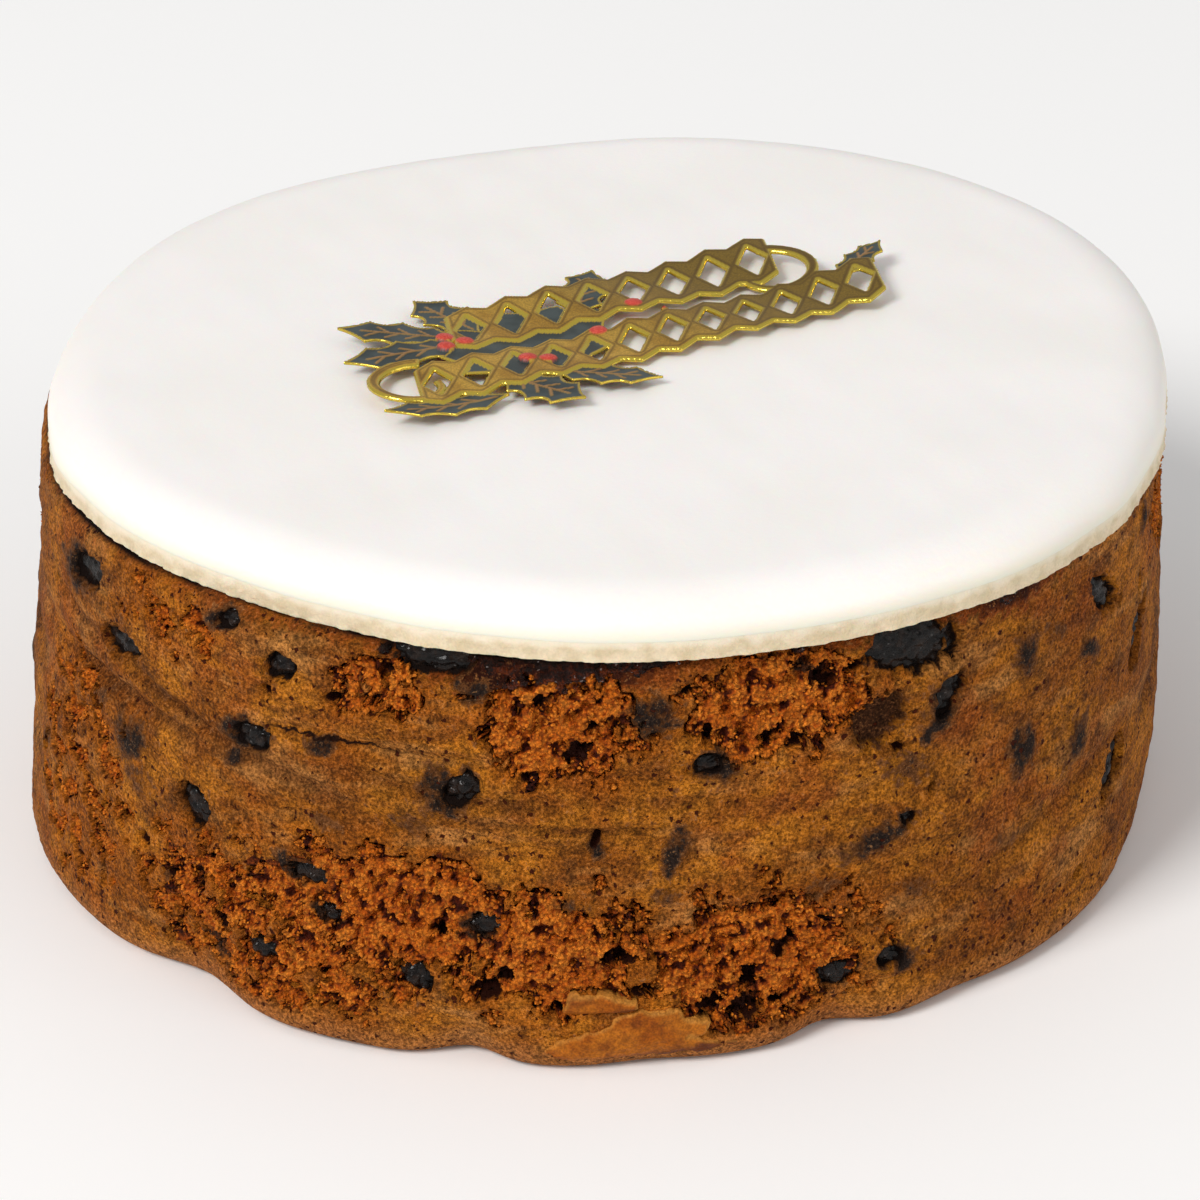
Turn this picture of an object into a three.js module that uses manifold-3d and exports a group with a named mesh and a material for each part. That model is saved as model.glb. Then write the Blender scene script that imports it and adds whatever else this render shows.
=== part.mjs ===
// A round fruit cake with a layer of marzipan, a rolled white icing disc and an embossed holly foil trim.
// Millimetres, +Z up. The origin is the middle of the cake's base, and the near side faces -Y.
// A bearing is in degrees round the cake from its near side, and grows towards +X.
import * as THREE from "three";
import { mergeVertices } from "three/addons/utils/BufferGeometryUtils.js";
import Module from "manifold-3d";

const wasm = await Module();
wasm.setup();

// Driving dimensions
const FOOT_RADIUS = 78.5;
const TOP_RADIUS = 75.2;
const CAKE_HEIGHT = 57;
const CAKE_LEAN = 2.4;
const FOOT_ROUNDING = 3.4;
const SHOULDER_ROUNDING = 2.6;
const ICING_RADIUS = 75.2;
const ICING_SHIFT = 4.4;
const MARZIPAN_THICKNESS = 2.6;
const ICING_THICKNESS = 5;
const ICING_ROLL = 8;
const FOIL_THICKNESS = 0.5;
const FOIL_EMBOSS = 0.4;
const FOIL_GAP = 0.3;
const FOIL_TURN = 27;

// Facets of each piece
const CAKE_COLUMNS = 128;
const FOOT_ROWS = 3;
const SIDE_ROWS = 13;
const SHOULDER_ROWS = 2;
const ICING_COLUMNS = 88;
const ROLL_ROWS = 5;
const FOIL_CELLS_LONG = 11;
const FOIL_CELLS_WIDE = 4;

const radians = THREE.MathUtils.degToRad;
const smooth = (low, high, x) => THREE.MathUtils.smoothstep(x, low, high);
const fade = (low, high, x) => 1 - smooth(low, high, x);
const bell = (x) => Math.exp(-x * x);

// The signed difference of two bearings, from -180 to 180.
const bearingGap = (a, b) => ((((a - b + 180) % 360) + 360) % 360) - 180;

// A repeatable draw of numbers from 0 to 1.
function seededDraw(seed) {
  let state = seed;
  return () => {
    state = (state * 16807) % 2147483647;
    return state / 2147483647;
  };
}

// A closed geometry with its shared corners merged and its normals, uv and collapsed faces left out.
function mergedGeometry(geometry) {
  const bare = geometry.clone();
  bare.deleteAttribute("normal");
  bare.deleteAttribute("uv");
  const merged = mergeVertices(bare, 1e-4);
  const index = merged.index.array;
  const kept = [];
  for (let i = 0; i < index.length; i += 3) {
    const [a, b, c] = [index[i], index[i + 1], index[i + 2]];
    if (a !== b && b !== c && c !== a) kept.push(a, b, c);
  }
  merged.setIndex(kept);
  return merged;
}

function toSolid(geometry) {
  const merged = mergedGeometry(geometry);
  return new wasm.Manifold(
    new wasm.Mesh({
      numProp: 3,
      vertProperties: new Float32Array(merged.attributes.position.array),
      triVerts: new Uint32Array(merged.index.array),
    }),
  );
}

// The largest body of a solid, without the scraps and sealed pockets that joining can leave.
function largestBody(solid) {
  return solid.decompose().reduce((best, body) => (body.volume() > best.volume() ? body : best));
}

function toGeometry(solid) {
  const { numProp, vertProperties, triVerts } = solid.getMesh();
  const corners = new Float32Array((vertProperties.length / numProp) * 3);
  for (let i = 0; i < corners.length / 3; i += 1) {
    corners.set(vertProperties.subarray(i * numProp, i * numProp + 3), i * 3);
  }
  const geometry = new THREE.BufferGeometry();
  geometry.setAttribute("position", new THREE.BufferAttribute(corners, 3));
  geometry.setIndex(new THREE.BufferAttribute(triVerts, 1));
  geometry.computeVertexNormals();
  return geometry;
}

// Moves every corner of a geometry by a rule that takes and returns a THREE.Vector3.
function reshaped(geometry, rule) {
  const position = geometry.attributes.position;
  const corner = new THREE.Vector3();
  for (let i = 0; i < position.count; i += 1) {
    corner.fromBufferAttribute(position, i);
    rule(corner);
    position.setXYZ(i, corner.x, corner.y, corner.z);
  }
  return geometry;
}

// A turned body about +Z. Its [radius, height] profile starts on the axis at the foot and ends on it on top.
function turnedBody(profile, columns) {
  const points = profile.map(([radius, height]) => new THREE.Vector2(radius, height));
  return mergedGeometry(new THREE.LatheGeometry(points, columns)).rotateX(Math.PI / 2);
}

// Points of a rounded corner, without its first point.
function roundedCorner([centreRadius, centreHeight], rounding, fromDegrees, toDegrees, rows) {
  return Array.from({ length: rows }, (_, i) => {
    const angle = radians(fromDegrees + ((toDegrees - fromDegrees) * (i + 1)) / rows);
    return [centreRadius + rounding * Math.cos(angle), centreHeight + rounding * Math.sin(angle)];
  });
}

const bearingOf = (x, y) => THREE.MathUtils.radToDeg(Math.atan2(x, -y));

// The cake

// Slow waves of the side: how many round the cake, how far they swing and the bearing of a crest.
const BODY_WAVES = [
  { lobes: 3, swing: 0.2, crest: -70 },
  { lobes: 5, swing: 0.2, crest: -22 },
  { lobes: 11, swing: 0.2, crest: -2 },
];

// Dents at the foot, where creases of the baking paper bit in. Those of the hidden side are drawn.
const FOOT_DENTS = [
  { bearing: -42, depth: 3.6, spread: 7, rise: 17 },
  { bearing: -12, depth: 3.3, spread: 4, rise: 10 },
  { bearing: 5, depth: 0.8, spread: 4, rise: 7 },
  { bearing: 23, depth: 3.3, spread: 4.4, rise: 12 },
  { bearing: 36, depth: 1.2, spread: 6, rise: 12 },
];
const HIDDEN_DENTS = 6;

// Long soft folds across the side: grooves, or ridges where the depth is negative. The tilt is in mm a degree.
const FOLDS = [
  { bearing: -10, height: 41.5, reach: 24, tilt: -0.09, depth: 0.7, spread: 1.3 },
  { bearing: -12, height: 36.5, reach: 20, tilt: -0.11, depth: -0.55, spread: 2.4 },
  { bearing: -22, height: 32.5, reach: 15, tilt: 0.05, depth: 0.5, spread: 1.8 },
  { bearing: 20, height: 34, reach: 22, tilt: 0.14, depth: 0.45, spread: 1.8 },
  { bearing: 26, height: 27, reach: 20, tilt: 0.2, depth: -0.45, spread: 2.6 },
  { bearing: -62, height: 38, reach: 18, tilt: -0.1, depth: 0.8, spread: 2 },
  { bearing: -70, height: 31, reach: 20, tilt: -0.1, depth: 0.9, spread: 2.2 },
  { bearing: 60, height: 24, reach: 18, tilt: 0.1, depth: 0.5, spread: 2 },
];
const HIDDEN_FOLDS = 9;

// Torn patches, where the baked skin came off with the paper and the open crumb shows a little deeper.
const TORN_PATCHES = [
  { bearing: -4, height: 48, reach: 7.5, tall: 8 },
  { bearing: 16.5, height: 49, reach: 9.5, tall: 7.5 },
  { bearing: -32, height: 14, reach: 15, tall: 11 },
  { bearing: -19, height: 21, reach: 14, tall: 8.5 },
  { bearing: -4.5, height: 17, reach: 9.5, tall: 8.5 },
  { bearing: 15, height: 14, reach: 11, tall: 10 },
  { bearing: -21, height: 51, reach: 5, tall: 4 },
  { bearing: -46, height: 52, reach: 6, tall: 4.5 },
  { bearing: -61, height: 22, reach: 9, tall: 14 },
];
const HIDDEN_TEARS = 11;
const TEAR_DEPTH = 1.1;

// The side that the near view hides, from and to these bearings.
const HIDDEN_FROM = 78;
const HIDDEN_TO = 284;

// Spreads count things evenly over the hidden side, each shifted by the draw.
function spreadBehind(count, draw, make) {
  const step = (HIDDEN_TO - HIDDEN_FROM) / count;
  return Array.from({ length: count }, (_, i) => {
    const bearing = HIDDEN_FROM + step * (i + 0.2 + 0.6 * draw());
    return make(bearing, draw);
  });
}

const dents = FOOT_DENTS.concat(
  spreadBehind(HIDDEN_DENTS, seededDraw(11), (bearing, draw) => ({
    bearing,
    depth: 1.2 + 1.6 * draw(),
    spread: 3.5 + 3 * draw(),
    rise: 8 + 6 * draw(),
  })),
);
const folds = FOLDS.concat(
  spreadBehind(HIDDEN_FOLDS, seededDraw(23), (bearing, draw) => ({
    bearing,
    height: 14 + 30 * draw(),
    reach: 12 + 12 * draw(),
    tilt: 0.3 * (draw() - 0.5),
    depth: draw() < 0.65 ? 0.7 : -0.5,
    spread: 1.3 + 1.3 * draw(),
  })),
);
const tears = TORN_PATCHES.concat(
  spreadBehind(HIDDEN_TEARS, seededDraw(37), (bearing, draw) => ({
    bearing,
    height: draw() < 0.5 ? 10 + 12 * draw() : 36 + 14 * draw(),
    reach: 6 + 6 * draw(),
    tall: 5 + 4 * draw(),
  })),
);

// How torn the side is at a place, from 0 on whole skin to 1 on open crumb. The edge of a patch is ragged.
const FINE_RAGGED = 0.13;
const BROAD_RAGGED = 0.1;
const TEAR_EDGE = [-0.05, 0.25];
function tornAt(bearing, height) {
  const fineRagged = FINE_RAGGED * Math.sin(bearing * 0.9 + height * 0.5);
  const broadRagged = BROAD_RAGGED * Math.sin(bearing * 0.37 - height * 1.1);
  const most = tears.reduce((best, patch) => {
    const across = bearingGap(bearing, patch.bearing) / patch.reach;
    const up = (height - patch.height) / patch.tall;
    return Math.max(best, 1 - Math.hypot(across, up));
  }, -1);
  return smooth(...TEAR_EDGE, most + fineRagged + broadRagged);
}

// How far the side stands out from the plain taper at a place.
function sideRelief(bearing, height) {
  const waves = BODY_WAVES.reduce(
    (sum, { lobes, swing, crest }) => sum + swing * Math.cos(radians(lobes * (bearing - crest))),
    0,
  );
  const dented = dents.reduce((sum, { bearing: at, depth, spread, rise }) => {
    return sum + depth * bell(bearingGap(bearing, at) / spread) * fade(0, rise, height);
  }, 0);
  const folded = folds.reduce((sum, { bearing: at, height: level, reach, tilt, depth, spread }) => {
    const along = bearingGap(bearing, at);
    const off = height - (level + tilt * along);
    return sum + depth * bell(off / spread) * fade(reach * 0.5, reach, Math.abs(along));
  }, 0);
  return waves - dented - folded - TEAR_DEPTH * tornAt(bearing, height);
}

// The plain radius of the side, which tapers from the foot to the top.
const sideRadius = (height) => FOOT_RADIUS + ((TOP_RADIUS - FOOT_RADIUS) * height) / CAKE_HEIGHT;

// The middle of the cake moves towards +X with height.
const leanAt = (height) => (CAKE_LEAN * height) / CAKE_HEIGHT;

// The relief grows in towards the two roundings, so the flat foot and the flat top keep their middles.
const RELIEF_GROWTH = 12;
function relieve(corner) {
  const radius = Math.hypot(corner.x, corner.y);
  const rounding = FOOT_RADIUS - FOOT_ROUNDING;
  const reach = smooth(rounding - RELIEF_GROWTH, rounding, radius);
  const taper = sideRadius(corner.z) - FOOT_RADIUS;
  const relief = (sideRelief(bearingOf(corner.x, corner.y), corner.z) + taper) * reach;
  const scale = radius > 0 ? (radius + relief) / radius : 1;
  corner.x = corner.x * scale + leanAt(corner.z);
  corner.y *= scale;
}

function cakeBody() {
  const foot = [FOOT_RADIUS - FOOT_ROUNDING, FOOT_ROUNDING];
  const shoulder = [FOOT_RADIUS - SHOULDER_ROUNDING, CAKE_HEIGHT - SHOULDER_ROUNDING];
  const sideRise = (shoulder[1] - foot[1]) / SIDE_ROWS;
  const side = Array.from({ length: SIDE_ROWS }, (_, i) => [FOOT_RADIUS, foot[1] + sideRise * (i + 1)]);
  const profile = [
    [0, 0],
    [foot[0], 0],
    ...roundedCorner(foot, FOOT_ROUNDING, -90, 0, FOOT_ROWS),
    ...side,
    ...roundedCorner(shoulder, SHOULDER_ROUNDING, 0, 90, SHOULDER_ROWS),
    [0, CAKE_HEIGHT],
  ];
  return reshaped(turnedBody(profile, CAKE_COLUMNS), relieve);
}

// Raisins and currants that show at the near side: bearing, height, length, width and turn from level.
const NEAR_FRUIT = [
  [-58.5, 52, 6, 4, -30],
  [-52.5, 45, 6.5, 3.6, -35],
  [-38, 53.4, 6, 3.6, 10],
  [-30.5, 51, 5.4, 4.4, 20],
  [-35, 40.5, 7.5, 5.6, -15],
  [-51, 31, 7, 6, 60],
  [-41, 27.5, 6.4, 3.4, -70],
  [-26, 43, 4.4, 3.2, 0],
  [-31, 23, 8, 5, -20],
  [-38.5, 8.5, 6, 3.8, -35],
  [-33, 11, 5, 3.6, 0],
  [-13.5, 39, 8.5, 8, 60],
  [-13, 53.4, 9, 4.2, 5],
  [-10, 21, 7, 5, 10],
  [-15.5, 10.5, 5, 4.4, 30],
  [1, 31.5, 4.2, 3.2, 90],
  [9, 32, 7.5, 4, 55],
  [3, 52, 8, 4.6, -15],
  [11.5, 42, 6.4, 4.2, 20],
  [32, 52, 9.4, 6.2, 8],
  [35, 45, 6, 4.6, 40],
  [45.5, 33, 6.4, 5, 75],
  [55, 31, 5.6, 4, 60],
  [60, 46, 5.4, 3.4, -60],
  [46.5, 46, 5, 4.6, 40],
  [28, 29, 9, 3.8, 32],
  [30.5, 10, 6, 4.6, 20],
  [24.5, 9.5, 5.4, 4.4, 35],
  [63.5, 19, 5.4, 3.2, 65],
  [70, 34, 5.4, 3.2, 70],
];
const HIDDEN_FRUIT_ROWS = [
  { height: 12, count: 7 },
  { height: 25, count: 7 },
  { height: 37, count: 7 },
  { height: 49, count: 6 },
];
const FRUIT_THICKNESS = 4;
const FRUIT_PROUD = 0.8;
const LARGE_FRUIT = 7.2;

const nearFruit = NEAR_FRUIT.map(([bearing, height, length, width, turn]) => ({
  bearing,
  height,
  length,
  width,
  turn,
}));
const fruitDraw = seededDraw(53);
const hiddenFruit = HIDDEN_FRUIT_ROWS.flatMap(({ height, count }) =>
  spreadBehind(count, fruitDraw, (bearing, draw) => ({
    bearing,
    height: height + 7 * (draw() - 0.5),
    length: 5 + 4 * draw(),
    width: 3.4 + 2.4 * draw(),
    turn: 180 * draw(),
  })),
);

// The point of the side at a bearing, height and radius.
function sidePoint(bearing, height, radius) {
  const angle = radians(bearing);
  return new THREE.Vector3(radius * Math.sin(angle) + leanAt(height), -radius * Math.cos(angle), height);
}

function fruitPiece({ bearing, height, length, width, turn }) {
  const Ball = length > LARGE_FRUIT ? THREE.IcosahedronGeometry : THREE.OctahedronGeometry;
  const piece = new Ball(1, 1).scale(length / 2, width / 2, FRUIT_THICKNESS / 2).rotateZ(radians(turn));
  const outward = new THREE.Vector3(Math.sin(radians(bearing)), -Math.cos(radians(bearing)), 0);
  const along = new THREE.Vector3(Math.cos(radians(bearing)), Math.sin(radians(bearing)), 0);
  const placed = new THREE.Matrix4().makeBasis(along, new THREE.Vector3(0, 0, 1), outward);
  const surface = sideRadius(height) + sideRelief(bearing, height);
  placed.setPosition(sidePoint(bearing, height, surface + FRUIT_PROUD - FRUIT_THICKNESS / 2));
  return piece.applyMatrix4(placed);
}

// Flaps of crust that the paper left at the foot: curved flakes with ragged edges, standing a little proud.
const CRUST_FLAPS = [
  { bearing: 10, height: 4.6, length: 26, width: 10, seed: 3 },
  { bearing: 0.5, height: 7.4, length: 12, width: 7, seed: 5 },
  { bearing: 152, height: 5, length: 16, width: 8, seed: 7 },
  { bearing: -128, height: 5.4, length: 19, width: 8, seed: 13 },
];
const FLAP_THICKNESS = 3;
const FLAP_PROUD = 0.5;
const FLAP_CORNERS = 13;
const FLAP_FOOT = 0.6;

function crustFlap(flap) {
  const draw = seededDraw(flap.seed);
  const outline = Array.from({ length: FLAP_CORNERS }, (_, i) => {
    const angle = (2 * Math.PI * i) / FLAP_CORNERS;
    const ragged = 0.8 + 0.35 * draw();
    const across = (flap.length / 2) * ragged * Math.cos(angle);
    return new THREE.Vector2(across, (flap.width / 2) * ragged * Math.sin(angle));
  });
  const options = { depth: FLAP_THICKNESS, bevelEnabled: false };
  const flake = new THREE.ExtrudeGeometry(new THREE.Shape(outline), options);
  // The flat flake is bent round the side and under the rounding of the foot.
  return reshaped(flake, (corner) => {
    const height = Math.max(FLAP_FOOT, flap.height + corner.y);
    const bearing = flap.bearing + THREE.MathUtils.radToDeg(corner.x / FOOT_RADIUS);
    const under = Math.max(0, FOOT_ROUNDING - height);
    const inset = FOOT_ROUNDING - Math.sqrt(FOOT_ROUNDING ** 2 - under ** 2);
    const proud = FLAP_PROUD - FLAP_THICKNESS + corner.z - inset;
    corner.copy(sidePoint(bearing, height, sideRadius(height) + proud));
  });
}

function fruitCake() {
  let solid = toSolid(cakeBody());
  const additions = [...nearFruit, ...hiddenFruit].map(fruitPiece).concat(CRUST_FLAPS.map(crustFlap));
  additions.forEach((geometry) => {
    solid = solid.add(toSolid(geometry));
  });
  return toGeometry(largestBody(solid));
}

// Marzipan and icing

// The hand-trimmed outline that both layers share, as waves round the plain circle.
const RIM_WAVES = [
  { lobes: 2, swing: 0.2, crest: 151 },
  { lobes: 3, swing: 1.2, crest: 144 },
  { lobes: 4, swing: 0.75, crest: 45 },
  { lobes: 5, swing: 0.3, crest: 79 },
  { lobes: 6, swing: 0.5, crest: 112 },
];

function rimShare(x, y) {
  const bearing = bearingOf(x, y);
  const swing = RIM_WAVES.reduce(
    (sum, { lobes, swing: size, crest }) => sum + size * Math.cos(radians(lobes * (bearing - crest))),
    0,
  );
  return 1 + swing / ICING_RADIUS;
}

function trimmedDisc(profile) {
  return reshaped(turnedBody(profile, ICING_COLUMNS), (corner) => {
    const share = rimShare(corner.x, corner.y);
    corner.x = corner.x * share + ICING_SHIFT;
    corner.y *= share;
  });
}

function marzipanLayer() {
  const top = CAKE_HEIGHT + MARZIPAN_THICKNESS;
  return trimmedDisc([
    [0, CAKE_HEIGHT],
    [ICING_RADIUS, CAKE_HEIGHT],
    [ICING_RADIUS, top],
    [0, top],
  ]);
}

// The icing's edge rolls over in a soft corner that is wider than it is tall.
const ROLL_POWER = 0.87;
function icingDisc() {
  const base = CAKE_HEIGHT + MARZIPAN_THICKNESS;
  const roll = Array.from({ length: ROLL_ROWS }, (_, i) => {
    const angle = radians((90 * (i + 1)) / ROLL_ROWS);
    const inset = ICING_ROLL * (1 - Math.cos(angle) ** ROLL_POWER);
    return [ICING_RADIUS - inset, base + ICING_THICKNESS * Math.sin(angle) ** ROLL_POWER];
  });
  return trimmedDisc([[0, base], [ICING_RADIUS, base], ...roll, [0, base + ICING_THICKNESS]]);
}

// The foil trim, drawn flat as [along, across] pairs about the icing's middle and then turned onto the icing

const LEAVES = [
  { root: [-19, 7], tip: [-33.5, 16], width: 8 },
  { root: [-19, 5], tip: [-37, 6.5], width: 7.5 },
  { root: [-16, 8], tip: [-20, 21], width: 8.5 },
  { root: [-21, -11.5], tip: [-39, -10.5], width: 6.5 },
  { root: [-20, -6], tip: [-13.5, -18], width: 8.5 },
  { root: [-14, -7.5], tip: [-1.5, -16.5], width: 7.5 },
  { root: [-3, 6], tip: [6, 18.5], width: 8 },
  { root: [33, -1.5], tip: [43.5, 4.5], width: 5 },
];
const LEAF_SPINES = 3;
const BERRIES = [
  [-21.5, 7.6],
  [-19.6, 5.4],
  [-22.6, 4.8],
  [-14.5, -3],
  [-12.2, -4.4],
  [-2.4, 0.4],
  [5.4, 5.2],
  [8, 2.6],
];
const BERRY_RADIUS = 1.3;
const BERRY_RISE = 0.3;

// The green backing that the leaves grow from, behind the left half of the openwork.
const BACKING = { centre: [-12.5, 2], radii: [13, 10.5], turn: 8, lobes: 9 };

// Openwork bands: a serrated strip pierced by leaning lozenges, over a stretch along and at a level across.
const BANDS = [
  { from: -20, to: 29, level: 9.4, half: 6.4, links: 8 },
  { from: -31, to: 38, level: -4.2, half: 6, links: 12 },
];
const BAND_TOOTH = 1.6;
const BAND_LEAN = 0.32;
const LINK_BAR = 1.8;

// Scrolls: a strap on a spiral, with its first and last radius, first angle and sweep.
const SCROLLS = [
  { centre: [26.5, 5.2], radii: [7, 3.4], start: 80, sweep: -300, width: 2 },
  { centre: [-31, -3.6], radii: [6.6, 3], start: 60, sweep: 300, width: 2 },
];
const SCROLL_STEPS = 14;
const SCROLL_TAPER = 0.45;

function leafShape({ root, tip, width }) {
  const length = Math.hypot(tip[0] - root[0], tip[1] - root[1]);
  const spines = Array.from({ length: LEAF_SPINES }, (_, i) => {
    const share = (i + 1) / (LEAF_SPINES + 1);
    return [length * share, (width / 2) * Math.sin(Math.PI * share) ** 0.6];
  });
  const shape = new THREE.Shape();
  shape.moveTo(0, 0);
  // Each scallop between two spines dips towards the midrib.
  const scallop = ([fromAlong, fromOut], [toAlong, toOut]) => {
    const dip = 0.35 * (fromOut + toOut);
    shape.quadraticCurveTo((fromAlong + toAlong) / 2, dip, toAlong, toOut);
  };
  const upper = [[0, 0], ...spines, [length, 0]];
  const lower = [[length, 0], ...spines.map(([along, out]) => [along, -out]).reverse(), [0, 0]];
  [upper, lower].forEach((side) => side.slice(1).forEach((point, i) => scallop(side[i], point)));
  return shape;
}

// A rough oval with a scalloped edge.
function backingShape({ centre, radii, turn, lobes }) {
  const outline = Array.from({ length: 2 * lobes }, (_, i) => {
    const angle = (Math.PI * i) / lobes;
    const reach = i % 2 ? 0.86 : 1;
    return new THREE.Vector2(radii[0] * reach * Math.cos(angle), radii[1] * reach * Math.sin(angle))
      .rotateAround(new THREE.Vector2(), radians(turn))
      .add(new THREE.Vector2(...centre));
  });
  return new THREE.Shape(outline);
}

function leafPrism(leaf) {
  const turn = Math.atan2(leaf.tip[1] - leaf.root[1], leaf.tip[0] - leaf.root[0]);
  return prism(leafShape(leaf)).rotateZ(turn).translate(leaf.root[0], leaf.root[1], 0);
}

// The strip's saw-toothed outline and its lozenge holes, all leaning the same way.
function bandShape({ from, to, level, half, links }) {
  const pitch = (to - from) / links;
  const lean = (along, across) => new THREE.Vector2(along + BAND_LEAN * across, level + across);
  const edge = (sign) =>
    Array.from({ length: 2 * links + 1 }, (_, i) => {
      return lean(from + (pitch * i) / 2, sign * (i % 2 ? half : half - BAND_TOOTH));
    });
  const shape = new THREE.Shape([...edge(-1), ...edge(1).reverse()]);
  const holeLong = pitch / 2 - LINK_BAR / 2;
  const holeTall = half - BAND_TOOTH - LINK_BAR / 2;
  for (let i = 0; i < links; i += 1) {
    const middle = from + pitch * (i + 0.5);
    const hole = [
      lean(middle - holeLong, 0),
      lean(middle, holeTall),
      lean(middle + holeLong, 0),
      lean(middle, -holeTall),
    ];
    shape.holes.push(new THREE.Path(hole));
  }
  return shape;
}

function scrollShape({ centre, radii, start, sweep, width }) {
  const side = (offset) =>
    Array.from({ length: SCROLL_STEPS + 1 }, (_, i) => {
      const share = i / SCROLL_STEPS;
      const angle = radians(start + sweep * share);
      const taper = 1 - SCROLL_TAPER * share;
      const radius = radii[0] + (radii[1] - radii[0]) * share + offset * taper;
      return new THREE.Vector2(centre[0] + radius * Math.cos(angle), centre[1] + radius * Math.sin(angle));
    });
  return new THREE.Shape([...side(width / 2), ...side(-width / 2).reverse()]);
}

// A flat shape stands up as a tall prism, which the wavy sheet then cuts to the foil's thickness.
const PRISM_HALF = 12;

function prism(shape) {
  const options = { depth: 2 * PRISM_HALF, bevelEnabled: false, curveSegments: 2 };
  return new THREE.ExtrudeGeometry(shape, options).translate(0, 0, -PRISM_HALF);
}

// How high the foil's underside lies over the icing: nearly flat in the middle, with its ends curled up.
const FOIL_RIPPLE = 0.3;
const END_CURL = 1.5;
const SIDE_CURL = 0.5;
function foilLift(along, across) {
  const curl = END_CURL * (along / 40) ** 4 + SIDE_CURL * (across / 20) ** 2;
  const ripple = FOIL_RIPPLE * (1 + Math.sin(along / 4.6 + across / 7));
  return FOIL_GAP + curl + ripple;
}

// A wavy sheet of even thickness, larger than the trim, with both faces split into triangles alike.
function wavySheet(thickness) {
  const [long, wide] = [94, 46];
  const plane = new THREE.PlaneGeometry(long, wide, FOIL_CELLS_LONG, FOIL_CELLS_WIDE);
  const count = plane.attributes.position.count;
  const face = Array.from(plane.index.array);
  const corners = [];
  [0, thickness].forEach((rise) => {
    for (let i = 0; i < count; i += 1) {
      const [x, y] = [plane.attributes.position.getX(i), plane.attributes.position.getY(i)];
      corners.push(x, y, foilLift(x, y) + rise);
    }
  });
  const index = [];
  for (let i = 0; i < face.length; i += 3) {
    const [a, b, c] = [face[i], face[i + 1], face[i + 2]];
    index.push(a + count, b + count, c + count, a, c, b);
  }
  // The rim runs round the outer corners and joins the two faces.
  const across = FOIL_CELLS_LONG + 1;
  const rim = [];
  for (let i = 0; i < FOIL_CELLS_LONG; i += 1) rim.push(i);
  for (let j = 0; j < FOIL_CELLS_WIDE; j += 1) rim.push(across * j + FOIL_CELLS_LONG);
  for (let i = FOIL_CELLS_LONG; i > 0; i -= 1) rim.push(across * FOIL_CELLS_WIDE + i);
  for (let j = FOIL_CELLS_WIDE; j > 0; j -= 1) rim.push(across * j);
  rim.forEach((a, i) => {
    const b = rim[(i + 1) % rim.length];
    index.push(a, a + count, b + count, a, b + count, b);
  });
  const geometry = new THREE.BufferGeometry();
  geometry.setAttribute("position", new THREE.Float32BufferAttribute(corners, 3));
  geometry.setIndex(index);
  return geometry;
}

function joined(geometries) {
  return geometries.map(toSolid).reduce((sum, solid) => sum.add(solid));
}

function hollyFoil() {
  const gold = joined([...BANDS.map(bandShape), ...SCROLLS.map(scrollShape)].map(prism));
  const leaves = joined([prism(backingShape(BACKING)), ...LEAVES.map(leafPrism)]);
  const sheet = leaves.add(gold).intersect(toSolid(wavySheet(FOIL_THICKNESS)));
  const embossed = gold.intersect(toSolid(wavySheet(FOIL_THICKNESS + FOIL_EMBOSS)));
  const berries = joined(
    BERRIES.map(([along, across]) => {
      const berry = new THREE.OctahedronGeometry(BERRY_RADIUS, 1).scale(1, 1, 0.7);
      return berry.translate(along, across, foilLift(along, across) + FOIL_THICKNESS + BERRY_RISE);
    }),
  );
  return toGeometry(largestBody(sheet.add(embossed).add(berries)));
}

// The whole

const FINISHES = {
  fruit_cake: { color: 0x824b1b, roughness: 0.85, metalness: 0 },
  marzipan: { color: 0xecd8b6, roughness: 0.75, metalness: 0 },
  icing: { color: 0xf7f3ef, roughness: 0.5, metalness: 0 },
  holly_foil: { color: 0xa8842a, roughness: 0.25, metalness: 0.9 },
};

function namedMesh(name, geometry) {
  const mesh = new THREE.Mesh(geometry, new THREE.MeshStandardMaterial(FINISHES[name]));
  mesh.name = name;
  return mesh;
}

const foil = namedMesh("holly_foil", hollyFoil());
foil.rotation.z = radians(FOIL_TURN);
foil.position.set(ICING_SHIFT, 0, CAKE_HEIGHT + MARZIPAN_THICKNESS + ICING_THICKNESS);

const cake = new THREE.Group();
cake.add(
  namedMesh("fruit_cake", fruitCake()),
  namedMesh("marzipan", marzipanLayer()),
  namedMesh("icing", icingDisc()),
  foil,
);

export default cake;
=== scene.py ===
import math

import bpy
import numpy as np
from mathutils import Matrix, Vector


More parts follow.
